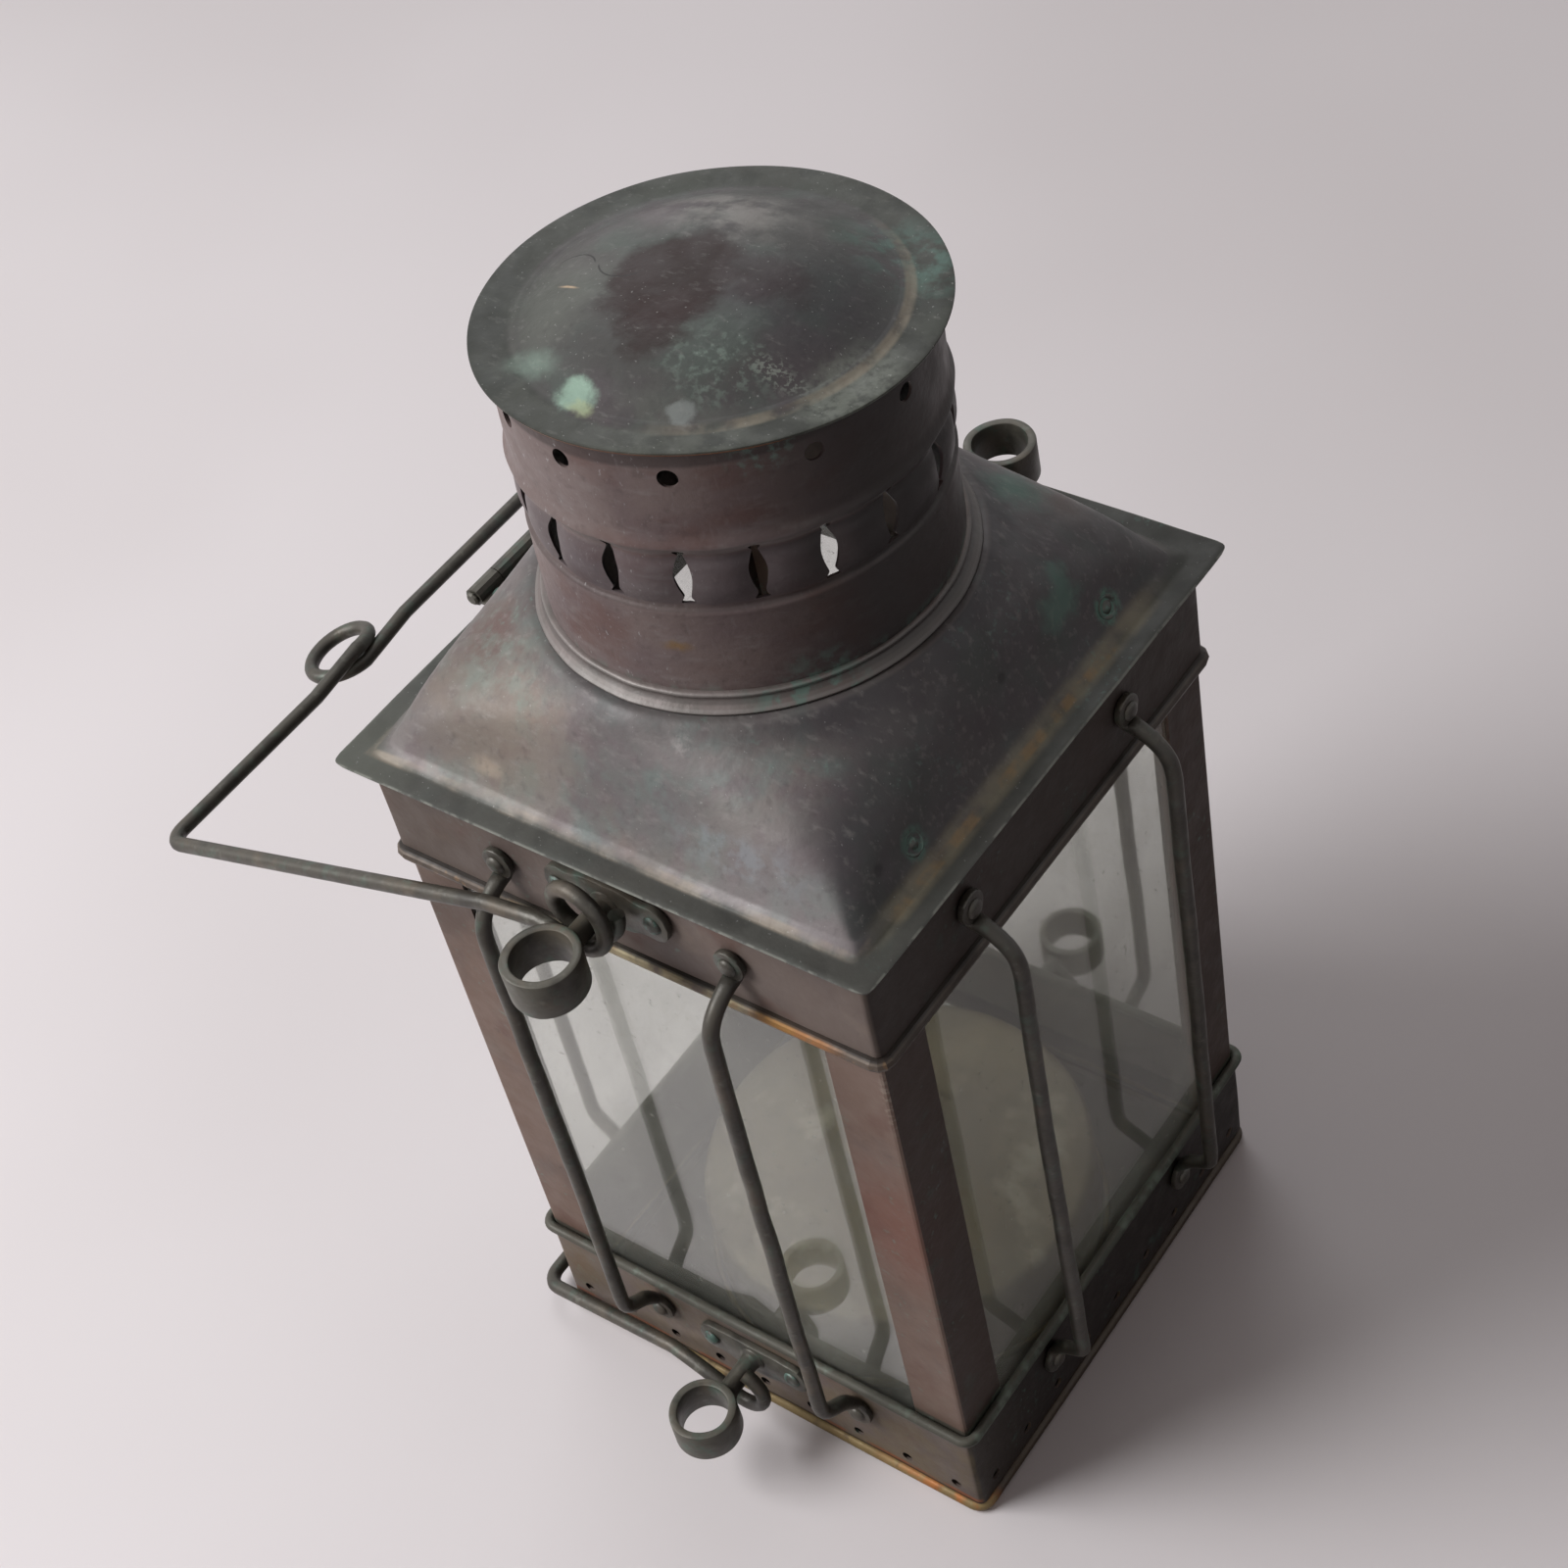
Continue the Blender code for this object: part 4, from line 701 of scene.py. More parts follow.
def cap_finish():
    """Pressed copper cap: slate grey, rubbed red brown in the middle, green grey on the rim."""
    s = bpy.context.scene.lantern_sizes
    inner = s.cap_radius - s.cap_rim
    middle = tuple(HEAD_SHIFT)
    layers = [
        ("#4c4247", cloud(30.0, 0.42, 0.66, 2.5, 5.0), 0.55),
        ("#4c5650", cloud(18.0, 0.46, 0.68, 4.5, 6.0), 0.55),
        # Painted shade on the right of the dome.
        ("#303032", near((0.032, 0.008, 0.395), 0.004, 0.030, ragged=0.014), 0.65),
        # Painted highlights on the left and the far side of the dome.
        ("#73766e", near((-0.032, -0.018, 0.393), 0.004, 0.024, (1, 0.8, 1), 0.014), 0.45),
        ("#93908b", both(near((-0.010, 0.027, 0.395), 0.003, 0.022, (0.7, 1.2, 1), 0.012),
         cloud(9.0, 0.36, 0.60, 6.0, 5.0)), 0.60),
        ("#716a6b", near((-0.024, 0.018, 0.396), 0.002, 0.016, ragged=0.012), 0.4),
        ("#210f0d", near((-0.003, -0.004, 0.398), 0.0125, 0.0190, (1, 0.8, 1), 0.012), 0.92),
        ("#24110f", near((0.0040, -0.0185, 0.398), 0.0060, 0.0125, (1.1, 0.8, 1), 0.010), 0.75),
        ("#281a1c", near((0.0185, 0.0065, 0.3972), 0.005, 0.013, (0.7, 1, 1), 0.010), 0.7),
        ("#3f413b", less(near((*middle[:2], 0.39), inner + 0.0004, inner + 0.0026, (1, 1, 0))), 0.85),
        ("#292b27", both(less(near(middle, inner, inner + 0.002, (1, 1, 0))),
         cloud(12.0, 0.46, 0.60, 13.0, 5.0)), 0.55),
        ("#2d2e2a", near((-0.049, -0.026, 0.389), 0.008, 0.032, (1, 0.7, 0), 0.010), 0.60),
        ("#5e6059", both(near((0.0300, -0.0500, 0.388), 0.006, 0.026, (0.7, 1, 0), 0.010),
         cloud(8.0, 0.40, 0.60, 3.0, 5.0)), 0.5),
        ("#74786f", both(near((0.0530, -0.0105, 0.3878), 0.005, 0.010, (0.8, 0.5, 1), 0.004),
         cloud(2.4, 0.3, 0.6, 3.0, 5.0)), 0.55),
        ("#5a796f", both(near((0.038, 0.0390, 0.3875), 0.004, 0.020, (0.7, 1, 1), 0.010),
         cloud(6.0, 0.40, 0.60, 9.0, 6.0)), 0.55),
        ("#93ad9c", near((-0.0040, -0.0437, 0.3929), 0.0030, 0.0062, (0.8, 1, 1), 0.007), 0.80),
        ("#a2ab86", near((-0.0010, -0.0462, 0.3910), 0.0012, 0.0040, (0.7, 1.4, 1), 0.006), 0.6),
        ("#7d8f83", near((-0.0222, -0.0385, 0.3925), 0.001, 0.0080, (0.7, 1.2, 1), 0.007), 0.6),
        ("#7c8a80", both(near((0.0250, -0.0235, 0.3955), 0.005, 0.015, (0.8, 1, 1), 0.014),
         cloud(2.6, 0.50, 0.66, 7.0, 6.0)), 0.45),
        ("#8c9289", both(near((0.0400, -0.0180, 0.3930), 0.002, 0.008, (0.55, 1.6, 1), 0.004),
         cloud(1.3, 0.48, 0.58, 7.0, 4.0)), 0.65),
        ("#858a87", near((0.0239, -0.0386, 0.3920), 0.0030, 0.0046, ragged=0.0045), 0.60),
        ("#8f8676", both(ring_line(middle, inner + 0.0008, 0.0019), level("X", 0.012, 0.040),
         cloud(10.0, 0.32, 0.60, 5.0, 5.0)), 0.60),
        ("#1d1b1a", both(ring_line((-0.0330, -0.0098, 0.39), 0.0080, 0.00032),
         level("Y", -0.0050, -0.0040)), 0.85),
        ("#1d1b1a", both(ring_line((-0.0185, -0.0008, 0.39), 0.0080, 0.00032),
         less(level("Y", -0.0062, -0.0050))), 0.85),
        ("#c4ab8e", near((-0.0278, -0.0147, 0.3960), 0.0004, 0.0046, (1, 7, 1), 0.0012), 0.8),
        ("#9a5f38", both(less(turned((0, 0, 1), -0.2, 0.3)),
         near((0.020, -0.055, 0.385), 0.030, 0.040, (1, 1, 0))), 0.7),
        ("#9a9894", cloud(2.0, 0.56, 0.78, 27.0, 4.0, (0.5, 1.0, 1.0)), 0.16),
        ("#2b2828", cloud(2.6, 0.54, 0.76, 29.0, 5.0), 0.24),
        ("#b9bab6", cloud(1.0, 0.73, 0.77, 33.0, 1.0), 0.25),
    ]
    return aged_metal("slate_grey_pressed_copper_cap", colour("cap"), layers, (0.38, 0.54), 0.12,
                      [(0.00025, 25.0), (0.00005, 2.2)], 0.22)


def band_finish(name, ground):
    """Folded sheet copper, handled and brown, with painted shade on the shade side and in the gap above
    the base pan's edge.
    """
    green = colour("verdigris")
    layers = [
        ("#5b4f4b", cloud(28.0, 0.45, 0.68, 2.0, 4.0), 0.55),
        ("#807268", cloud(14.0, 0.52, 0.72, 6.0, 5.0), 0.45),
        ("#64473f", cloud(22.0, 0.56, 0.72, 10.0, 4.0), 0.50),
        ("#3d3631", cloud(6.0, 0.62, 0.8, 4.0, 5.0), 0.45),
        ("#7b4b3f", near((0.0743, -0.0834, 0.1484), 0.004, 0.024, (1, 1, 0.6), 0.014), 0.5),
        ("#a79f94", both(near((0.0834, -0.0834, 0.212), 0.003, 0.022, (4, 4, 1)),
         cloud(1.8, 0.48, 0.60, 5.0, 4.0), turned((0.7, -0.7, 0), 0.3, 0.75)), 0.7),
        # Painted shade on the shade side, and deeper on the right of the lower band.
        ("#221a19", turned(SHADE_SIDE, 0.25, 0.62), 0.84),
        ("#0e0806", both(turned((1, 0, 0), 0.3, 0.6), less(level("Z", 0.040, 0.050))), 0.92),
        ("#3f5850", both(turned((1, 0, 0), 0.4, 0.8), cloud(10.0, 0.60, 0.70, 25.0, 6.0)), 0.25),
        (green, both(cloud(2.6, 0.58, 0.68, 8.0, 6.0), cloud(26.0, 0.52, 0.64, 15.0, 3.0)), 0.30),
    ]
    layers += [
        ("#3a322b", near((0.064, -0.0834, 0.020), 0.010, 0.046, ragged=0.012), 0.35),
        ("#40372f", near((-0.078, -0.0834, 0.250), 0.010, 0.060, ragged=0.012), 0.35),
        ("#6f6145", both(less(level("Z", 0.030, 0.046)), turned((0, -1, 0), 0.3, 0.7),
         cloud(16.0, 0.36, 0.62, 18.0, 5.0)), 0.45),
        # Painted shade on the top of the right face of the upper band.
        ("#221c18", both(turned((1, 0, 0), 0.3, 0.6), level("Z", 0.225, 0.235)), 0.45),
    ]
    rim_top = LOWER[1][2] + bpy.context.scene.lantern_sizes.band_lift
    low_sheet = rim_top - 0.0038
    layers += [
        ("#474a42", between("Z", low_sheet, rim_top, 0.0012), 0.75),
        ("#6f7b70", both(between("Z", low_sheet, rim_top, 0.0010),
         cloud(7.0, 0.50, 0.66, 5.0, 5.0)), 0.5),
        ("#8a4a22", both(between("Z", 0.0054, 0.0070, 0.0008), cloud(16.0, 0.46, 0.60, 6.0, 4.0),
         turned((0, -1, 0), 0.3, 0.7)), 0.7),
        # Painted shadow in the gap between the lower band and the base pan's rolled edge.
        ("#1c1310", between("Z", 0.0036, 0.0056, 0.0006), 0.80),
    ]
    return aged_metal(name, ground, layers, (0.44, 0.60), 0.12, [(0.00022, 20.0), (0.00005, 2.0)], 0.2)


def rail_finish():
    """Rolled edge under the upper band: brown, rubbed to gold on one side of the front."""
    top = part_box("upper_rail")[1][2]
    front = (0, -1, 0)
    layers = [
        ("#3b332e", cloud(9.0, 0.45, 0.62, 5.0, 6.0), 0.6),
        ("#a89b78", both(between("X", -0.034, 0.034, 0.012), turned(front, 0.1, 0.5),
         cloud(12.0, 0.36, 0.58, 2.0, 5.0)), 0.75),
        ("#9c6a3c", both(near((0.062, -0.0846, 0.230), 0.002, 0.014, (1, 1, 1), 0.010),
         turned(front, 0.1, 0.5)), 0.85),
        ("#b8863f", both(near((0.050, -0.0846, 0.230), 0.002, 0.010, ragged=0.008),
         turned(front, 0.1, 0.5)), 0.6),
        ("#7d6348", both(cloud(5.0, 0.56, 0.64, 9.0, 4.0), turned(front, 0.1, 0.5)), 0.6),
        # Painted shade on the shade side.
        ("#241d1a", turned(SHADE_SIDE, 0.3, 0.7), 0.7),
        ("#17110e", level("Z", top - 0.0009, top - 0.0005), 0.85),
    ]
    return aged_metal("rubbed_rolled_copper_rail", linear("#5f544b"), layers, (0.40, 0.58), 0.2,
                      [(0.0001, 5.0)])


def pan_finish():
    """The base pan's turned up edge, rubbed golden, with rust coloured dirt."""
    layers = [
        ("#6f5a38", cloud(12.0, 0.45, 0.62, 2.0, 5.0), 0.5),
        ("#a8622c", both(near((0.072, -0.084, 0.002), 0.006, 0.034, (1, 1, 1), 0.010),
         cloud(9.0, 0.46, 0.60, 5.0, 5.0)), 0.75),
        ("#4a3a28", cloud(6.0, 0.54, 0.66, 5.0, 6.0), 0.6),
        # Painted shade on the right side of the rolled edge.
        ("#20140f", both(level("X", 0.0790, 0.0815), level("Y", -0.0810, -0.0740)), 0.94),
    ]
    return aged_metal("rubbed_golden_copper_pan", colour("bright"), layers, (0.38, 0.58), 0.2,
                      [(0.0001, 5.0)])


def vent_shade_finish():
    """Matt black with a little brown in it: painted shade, so that the vent holes look black."""
    layers = [
        ("#1a1310", cloud(6.0, 0.45, 0.65, 2.0, 4.0), 0.5),
    ]
    return aged_metal("black_lamp_soot", linear("#0b0908"), layers, (0.85, 0.95), 0.0,
                      [(0.0001, 6.0)], 0.1)


def brass_finish(name, ground, green):
    """Brass with an olive brown skin, green in its corners and rubbed grey where it is touched."""
    layers = [
        ("#2b2824", cloud(9.0, 0.45, 0.68, 1.0, 5.0), 0.6),
        ("#64584a", cloud(16.0, 0.50, 0.70, 13.0, 5.0), 0.5),
        ("#77766d", cloud(4.0, 0.58, 0.76, 3.0, 6.0), 0.45),
        ("#50675b", cloud(6.0, 0.52, 0.68, 7.0, 6.0), green),
        # Painted shade on the shade side.
        ("#211d1b", turned(SHADE_SIDE, 0.1, 0.8), 0.55),
    ]
    return aged_metal(name, ground, layers, (0.36, 0.52), 0.25, [(0.00010, 6.0), (0.00003, 1.2)], 0.4)


def rivet_finish(catch=False):
    """Hammered heads with copper salts in their middles."""
    layers = [
        ("#2d2b28", cloud(3.0, 0.45, 0.62, 1.0, 5.0), 0.6),
        ("#57746a", cloud(2.4, 0.46, 0.58, 7.0, 6.0), 0.7),
        # Painted shade on the shade side.
        ("#211d1b", turned(SHADE_SIDE, 0.1, 0.8), 0.35 if catch else 0.55),
    ]
    return aged_metal("green_hammered_rivets", linear("#4d4e48"), layers, (0.38, 0.55), 0.2,
                      [(0.00006, 1.5)], 0.4)


def solder_finish():
    """Rolled collar with grey solder, painted highlights on its edges and darker in its groove."""
    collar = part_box("chimney_collar")
    low, high = collar[0][2], collar[1][2]
    layers = [
        ("#54514c", cloud(12.0, 0.42, 0.62, 1.0, 5.0), 0.6),
        ("#594b47", cloud(18.0, 0.5, 0.66, 4.0, 4.0), 0.6),
        # Painted highlights on the collar's two rounded edges.
        ("#84807d", between("Z", high - 0.0014, high - 0.0004, 0.0004), 0.4),
        ("#84807d", between("Z", low + 0.0004, low + 0.0010, 0.0003), 0.3),
        ("#332e2c", between("Z", low + 0.0022, high - 0.0018, 0.0005), 0.4),
        # Painted shade on the shade side.
        ("#1b1615", turned(SHADE_SIDE, 0.1, 0.80), 0.80),
        ("#547268", both(near((0.044, -0.037, 0.308), 0.006, 0.020, ragged=0.012),
         cloud(3.5, 0.44, 0.60, 9.0, 6.0)), 0.6),
    ]
    return aged_metal("soldered_copper_collar", linear("#6c6360"), layers, (0.38, 0.5), 0.2,
                      [(0.00012, 8.0), (0.00004, 1.8)], 0.4)


def glass_finish():
    """Old window glass with a thin film of dust and lamp soot."""
    material = bpy.data.materials.new("old_dusty_window_glass")
    material.use_nodes = True
    tree = material.node_tree
    clean = tree.nodes["Principled BSDF"]
    for key, value in (("Base Color", colour("glass")), ("Roughness", 0.03), ("IOR", 1.5),
                       ("Transmission Weight", 1.0)):
        clean.inputs[key].default_value = value
    dust = node(tree, "ShaderNodeBsdfPrincipled",
                {"Base Color": linear("#b5b4aa"), "Roughness": 0.8})
    film = sums(tree, "ADD", 0.09, sums(tree, "MULTIPLY", 0.10,
                                        cloud(45.0, 0.35, 0.75, 4.0, 5.0)(tree)))
    spots = sums(tree, "MULTIPLY", cloud(2.5, 0.66, 0.74, 12.0, 3.0)(tree), 0.3)
    mix = node(tree, "ShaderNodeMixShader", {0: sums(tree, "ADD", film, spots),
                                             1: clean.outputs["BSDF"], 2: dust.outputs["BSDF"]})
    tree.links.new(mix.outputs["Shader"], tree.nodes["Material Output"].inputs["Surface"])
    return material


def tin_finish():
    """Stained tinplate."""
    layers = [
        ("#8a7d63", cloud(30.0, 0.42, 0.62, 1.0, 5.0), 0.6),
        ("#c9c1ac", cloud(18.0, 0.55, 0.72, 5.0, 5.0), 0.5),
        ("#6a5038", cloud(5.0, 0.62, 0.72, 8.0, 6.0), 0.6),
    ]
    return aged_metal("stained_tinplate", colour("tin"), layers, (0.38, 0.6), 0.3,
                      [(0.0001, 9.0)])


def cotton_finish():
    """Woven cotton wick, charred at its top."""
    layers = [
        ("#b9ad93", cloud(1.2, 0.45, 0.6, 1.0, 2.0, (1.0, 1.0, 3.0)), 0.6),
        ("#1d1a18", level("Z", 0.0725, 0.0750), 0.95),
    ]
    return aged_metal("charred_cotton_wick", linear("#d8cfb8"), layers, (0.85, 0.95), 0.0,
                      [(0.0003, 1.0)])


# --- roof -------------------------------------------------------------------------------
ROOF_AROUND = 176       # points round the roof
DOME_STEPS = 30
DOME_SPACING = 1.4      # above 1, the rings stand closer together at the dome's foot
DOME_DRAW = 0.72        # below 1, the sides draw in early
DOME_SWELL = 1.08       # above 1, the foot rises late
FOOT_SQUARE = 40        # how square the dome's foot is, where 2 is round
CORNER_FADE = 4.6       # how soon the corners turn round


def corner_angles(count):
    """Directions round the square, closer together at its corners."""
    quarter = count // 4
    angles = []
    for side in range(4):
        for i in range(quarter):
            t = 2.0 * i / quarter - 1.0
            angles.append(pi / 2 * side + pi / 4 * (1 + abs(t) ** 1.5 * (1 if t > 0 else -1)))
    return angles


def rounded_square(half, square, height, angles):
    """A ring that goes from square to round as square falls to 2."""
    ring = []
    for a in angles:
        r = half / (abs(cos(a)) ** square + abs(sin(a)) ** square) ** (1 / square)
        ring.append((r * cos(a), r * sin(a), height))
    return ring


def roof_rings(s):
    """From the flange's edge, over the pressed dome, to the hole for the chimney."""
    top = ROOF[0][2] + s.sheet
    rise = ROOF[1][2] - top
    angles = corner_angles(ROOF_AROUND)
    base = s.dome_half
    rings = []
    for share, drop in ((0.0, 0.00035), (0.0006, 0.00005), (0.002, 0.0), (0.0045, 0.0),
                        (0.0062, 0.0)):
        rings.append(rounded_square(s.flange_half - share, 60, top - drop, angles))
    for gap, up, square in ((0.0011, 0.0001, 52), (0.0005, 0.0004, 46), (0.0001, 0.0010, 42)):
        rings.append(rounded_square(base + gap, square, top + up, angles))
    for i in range(1, DOME_STEPS + 1):
        share = (i / DOME_STEPS) ** DOME_SPACING
        half = base + (s.seat_radius - base) * share ** DOME_DRAW
        square = 2 + (FOOT_SQUARE - 2) * (1 - share) ** CORNER_FADE
        height = top + rise * sin(share * pi / 2) ** DOME_SWELL
        if height > top + 0.0012:
            rings.append(rounded_square(half, square, height, angles))
    for half in (0.0600, 0.0585, s.chimney_radius + 0.0006):
        rings.append(rounded_square(half, 2, top + rise, angles))
    return rings


def build_roof(s):
    roof = rolled("pressed_roof", roof_rings(s))
    top = ROOF[0][2] + s.sheet
    # Each dent has its middle, its radius and its depth.
    dimples = [((0.0756, -0.0607, 0.279), 0.0024, 0.0007), ((0.0723, 0.0036, 0.287), 0.0022, 0.0006),
               ((0.0557, 0.0342, 0.303), 0.0026, 0.0006), ((0.0600, -0.0300, 0.292), 0.0100, 0.0005),
               ((-0.030, -0.0740, 0.283), 0.0140, 0.0006), ((-0.0700, 0.0350, 0.283), 0.0120, 0.0006),
               ((0.0768, -0.0475, 0.2765), 0.0048, 0.0007), ((0.0768, 0.0475, 0.2765), 0.0048, 0.0007),
               ((0.0780, 0.0780, 0.2730), 0.0100, 0.0010), ((-0.0780, -0.0780, 0.2730), 0.0085, 0.0009)]

    def beaten(place):
        """Waves, stronger on the dome, and the dents. Both fade out at the chimney's seat."""
        up = clipped((place.z - top) / 0.004)
        move = unrest(place, 0.034, 4.0) * 0.0006 * (0.35 + 0.65 * up)
        for centre, radius, depth in dimples:
            gap = (place - Vector(centre)).length / radius
            if gap < 3.0:
                out = Vector((place.x, place.y, 0)).normalized() * 0.6 + Vector((0, 0, 0.8))
                move -= out * depth * exp(-gap * gap)
        ring = hypot(place.x, place.y)
        move *= clipped((ring - s.seat_radius + 0.002) / 0.008)
        return move if place.z > top + 0.0003 else Vector((0.3 * move.x, 0.3 * move.y, move.z))

    pushed(roof, beaten)
    modified(roof, "SOLIDIFY", thickness=s.sheet * 0.9, offset=-1.0)
    return fitted(rounded(mended(roof), 40), roof_finish(), "lid", "brown_copper", "roof")


# --- chimney, collar and cap ----------------------------------------------------------------
def chimney_wall(s):
    """(radius, height) of the tube's outside, with the bead above the slots and crease below."""
    foot, head = CHIMNEY[0][2], CHIMNEY[1][2]
    middle = SLOT_MIDDLE
    low = middle - s.slot_half_height
    high = middle + s.slot_half_height
    r = s.chimney_radius
    turns = [
        (r, foot), (r, foot + 0.004), (r, low - 0.016), (r, low - 0.0055), (r + 0.0001, low - 0.0028),
        (r - 0.0008, low - 0.0012), (r - 0.0002, low + 0.0010), (r + 0.0007, low + 0.0050),
        (r + 0.0006, middle + 0.0020), (r - 0.0005, high - 0.0034), (r - 0.0002, high - 0.0016),
        (r + 0.0011, high + 0.0006), (r + 0.0012, high + 0.0016), (r + 0.0003, high + 0.0040),
        (r, high + 0.0070), (r, head - 0.010), (r, head),
    ]
    return eased(turns, 4)


# Places of the slots and holes round the tube, in degrees. Those at the front are uneven.
SLOT_MIDDLE = ROOF[1][2] + 0.0424
FRONT_SLOTS = (-107.0, -86.5, -66.5, -47.5, -29.0, -10.0, 12.5)
SLOTS = FRONT_SLOTS + tuple(12.5 + 18.5 * i for i in range(1, 13))
FRONT_HOLES = (-117.5, -94.5, -65.0, -29.0, 0.5)
HOLES = FRONT_HOLES + tuple(0.5 + 30.25 * i for i in range(1, 8))
HOLE_DROP = 0.0072
# The tube leans and the cap sits askew: how far its head has gone, and how it slopes.
HEAD_SHIFT = Vector((0.0015, 0.0020, 0.0))
HEAD_SLOPE = Vector((-0.0212, -0.0353, 0.0))

# The cap's edge is beaten in by this much on this side.
CAP_FRONT = Vector((0.44, -0.90, 0.0))
CAP_KNOCK = 0.0022
PUNCH = 0.012           # length of the tools that cut the slots and holes
# The dent that each slot sits in.
DENT_HALF_WIDTH = 0.0044
DENT_HALF_HEIGHT = 0.0085
DENT_DEPTH = 0.0011


def askew(place):
    """How far a point of the chimney or cap has moved with the leaning head."""
    share = clipped((place.z - ROOF[1][2]) / (CHIMNEY[1][2] - ROOF[1][2]))
    return share * (HEAD_SHIFT + Vector((0.0, 0.0, HEAD_SLOPE.dot(place))))


def baluster(s):
    """Outline of a slot, from half of it: knob, neck, belly, waist and foot."""
    shape = [
        (0.0, 1.0), (0.40, 0.985), (0.62, 0.93), (0.64, 0.86), (0.52, 0.79), (0.34, 0.73), (0.30, 0.68),
        (0.42, 0.60), (0.66, 0.45), (0.90, 0.27), (1.0, 0.08), (0.96, -0.10), (0.78, -0.36),
        (0.56, -0.58), (0.42, -0.72), (0.44, -0.79), (0.64, -0.88), (0.80, -0.94), (0.74, -0.99),
        (0.40, -1.0), (0.0, -0.985),
    ]
    right = [(w * s.slot_half_width, h * s.slot_half_height) for w, h in shape]
    return right + [(-w, h) for w, h in right[-2:0:-1]]


def build_chimney(s):
    around = 192
    rings = [[(r * cos(2 * pi * i / around), r * sin(2 * pi * i / around), z)
              for i in range(around)] for r, z in chimney_wall(s)]
    tube = rolled("punched_chimney", rings)
    modified(tube, "SOLIDIFY", thickness=s.chimney_wall, offset=-1.0)
    punch = cut_out("slot_punch", baluster(s), PUNCH)
    moved(punch, Matrix.Translation((0, -s.chimney_radius + PUNCH / 2, SLOT_MIDDLE)))
    drill = spun("hole_drill", [(0, 0), (s.hole_radius, 0), (s.hole_radius, PUNCH), (0, PUNCH)], 20)
    to_front(drill, s.chimney_radius - PUNCH / 2, CHIMNEY[1][2] - HOLE_DROP)
    tools = []
    for tool, angles in ((punch, SLOTS), (drill, HOLES)):
        for angle in angles:
            turn = Matrix.Rotation(radians(angle + 90.0), 4, "Z")
            tools.append(moved(copied(tool, "cutter"), turn))
        removed(tool)
    bored(tube, joined("cutters", *tools))

    def pressed(place):
        a = atan2(place.y, place.x)
        move = unrest(place, 0.030, 9.0) * 0.0003
        off = min(abs((a - radians(angle) + pi) % (2 * pi) - pi) for angle in SLOTS)
        across = off * s.chimney_radius / DENT_HALF_WIDTH
        up = (place.z - SLOT_MIDDLE) / DENT_HALF_HEIGHT
        dent = exp(-across ** 2 - up ** 4)
        out = Vector((cos(a), sin(a), 0))
        move *= clipped((CHIMNEY[1][2] - place.z) / 0.004)
        return move - out * dent * DENT_DEPTH + askew(place)

    pushed(tube, pressed)
    return fitted(rounded(mended(tube), 35), chimney_finish(), "lid", "brown_copper", "chimney")


def build_collar(s):
    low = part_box("chimney_collar")[0][2]
    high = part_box("chimney_collar")[1][2]
    r = s.chimney_radius - 0.0006
    outside = eased([(r + 0.0042, low), (r + 0.0043, low + 0.0005), (r + 0.0034, low + 0.0012),
                     (r + 0.0025, low + 0.0020), (r + 0.0018, low + 0.0029), (r + 0.0017, low + 0.0035),
                     (r + 0.0020, low + 0.0040), (r + 0.0019, high - 0.0004), (r + 0.0012, high),
                     (r, high + 0.0001)], 4)
    collar = spun("chimney_foot", [(r, low)] + outside, 144)
    uneven(collar, 0.0003, 0.011, 3.0, 0.3)
    return fitted(rounded(collar), solder_finish(), "lid", "brown_copper", "chimney_collar")


def build_cap(s):
    under = CHIMNEY[1][2] + 0.0003
    top = under + s.sheet
    rim = s.cap_radius
    inner = rim - s.cap_rim
    dome = []
    for i in range(12):
        share = 0.96 * i / 11
        dome.append((inner * share, top + s.cap_rise * (1 - share ** 2.9)))
    dome += eased([dome[-1], (inner - 0.0005, top + 0.0009), (inner + 0.0008, top + 0.0004),
                   (inner + 0.0024, top + 0.0001)], 3)[1:]
    outside = dome + [(inner + 0.0042, top), (rim - 0.004, top + 0.0001),
                      (rim - 0.0008, top + 0.0002), (rim - 0.0001, top), (rim, top - 0.0004),
                      (rim - 0.0003, under), (rim - 0.0025, under)]
    spigot = s.chimney_radius - s.chimney_wall - 0.0004
    inside = [(spigot, under), (spigot, under - 0.0030), (spigot - s.sheet, under - 0.0030),
              (spigot - s.sheet, under), (inner - s.sheet, under + 0.0003)]
    inside += [(max(r - 0.0005, 0.0), z - s.sheet) for r, z in reversed(dome[:-4])]
    cap = spun("domed_cap", outside + inside, 160)

    def beaten(place):
        ring = hypot(place.x, place.y)
        edge = clipped((ring - spigot - 0.001) / 0.006)
        dome_part = clipped((inner - ring) / 0.008) if place.z > under else 0.0
        move = unrest(place, 0.026, 6.0) * 0.0006 * dome_part
        front = max(0.0, CAP_FRONT.dot(place) / max(ring, 1e-6)) ** 2
        move -= CAP_FRONT * CAP_KNOCK * front * clipped((ring - inner) / 0.010)
        return move + Vector((0, 0, edge * noise.noise(place / 0.03) * 0.0005)) + askew(place)

    pushed(cap, beaten)
    return fitted(rounded(cap, 30), cap_finish(), "lid", "dark_copper", "cap")


# --- bands ------------------------------------------------------------------------------
VENTS = 9               # holes in one side of the lower band
VENT_SPAN = 0.1488      # between the middles of the outer holes
VENT_RADIUS = 0.0019
VENT_Z = 0.0113
VENT_DRILL = 0.008
# Heights of the black sheet of painted shade behind the vent holes.
SHADE_SHEET_LOW = 0.0066
SHADE_SHEET_HIGH = 0.0170


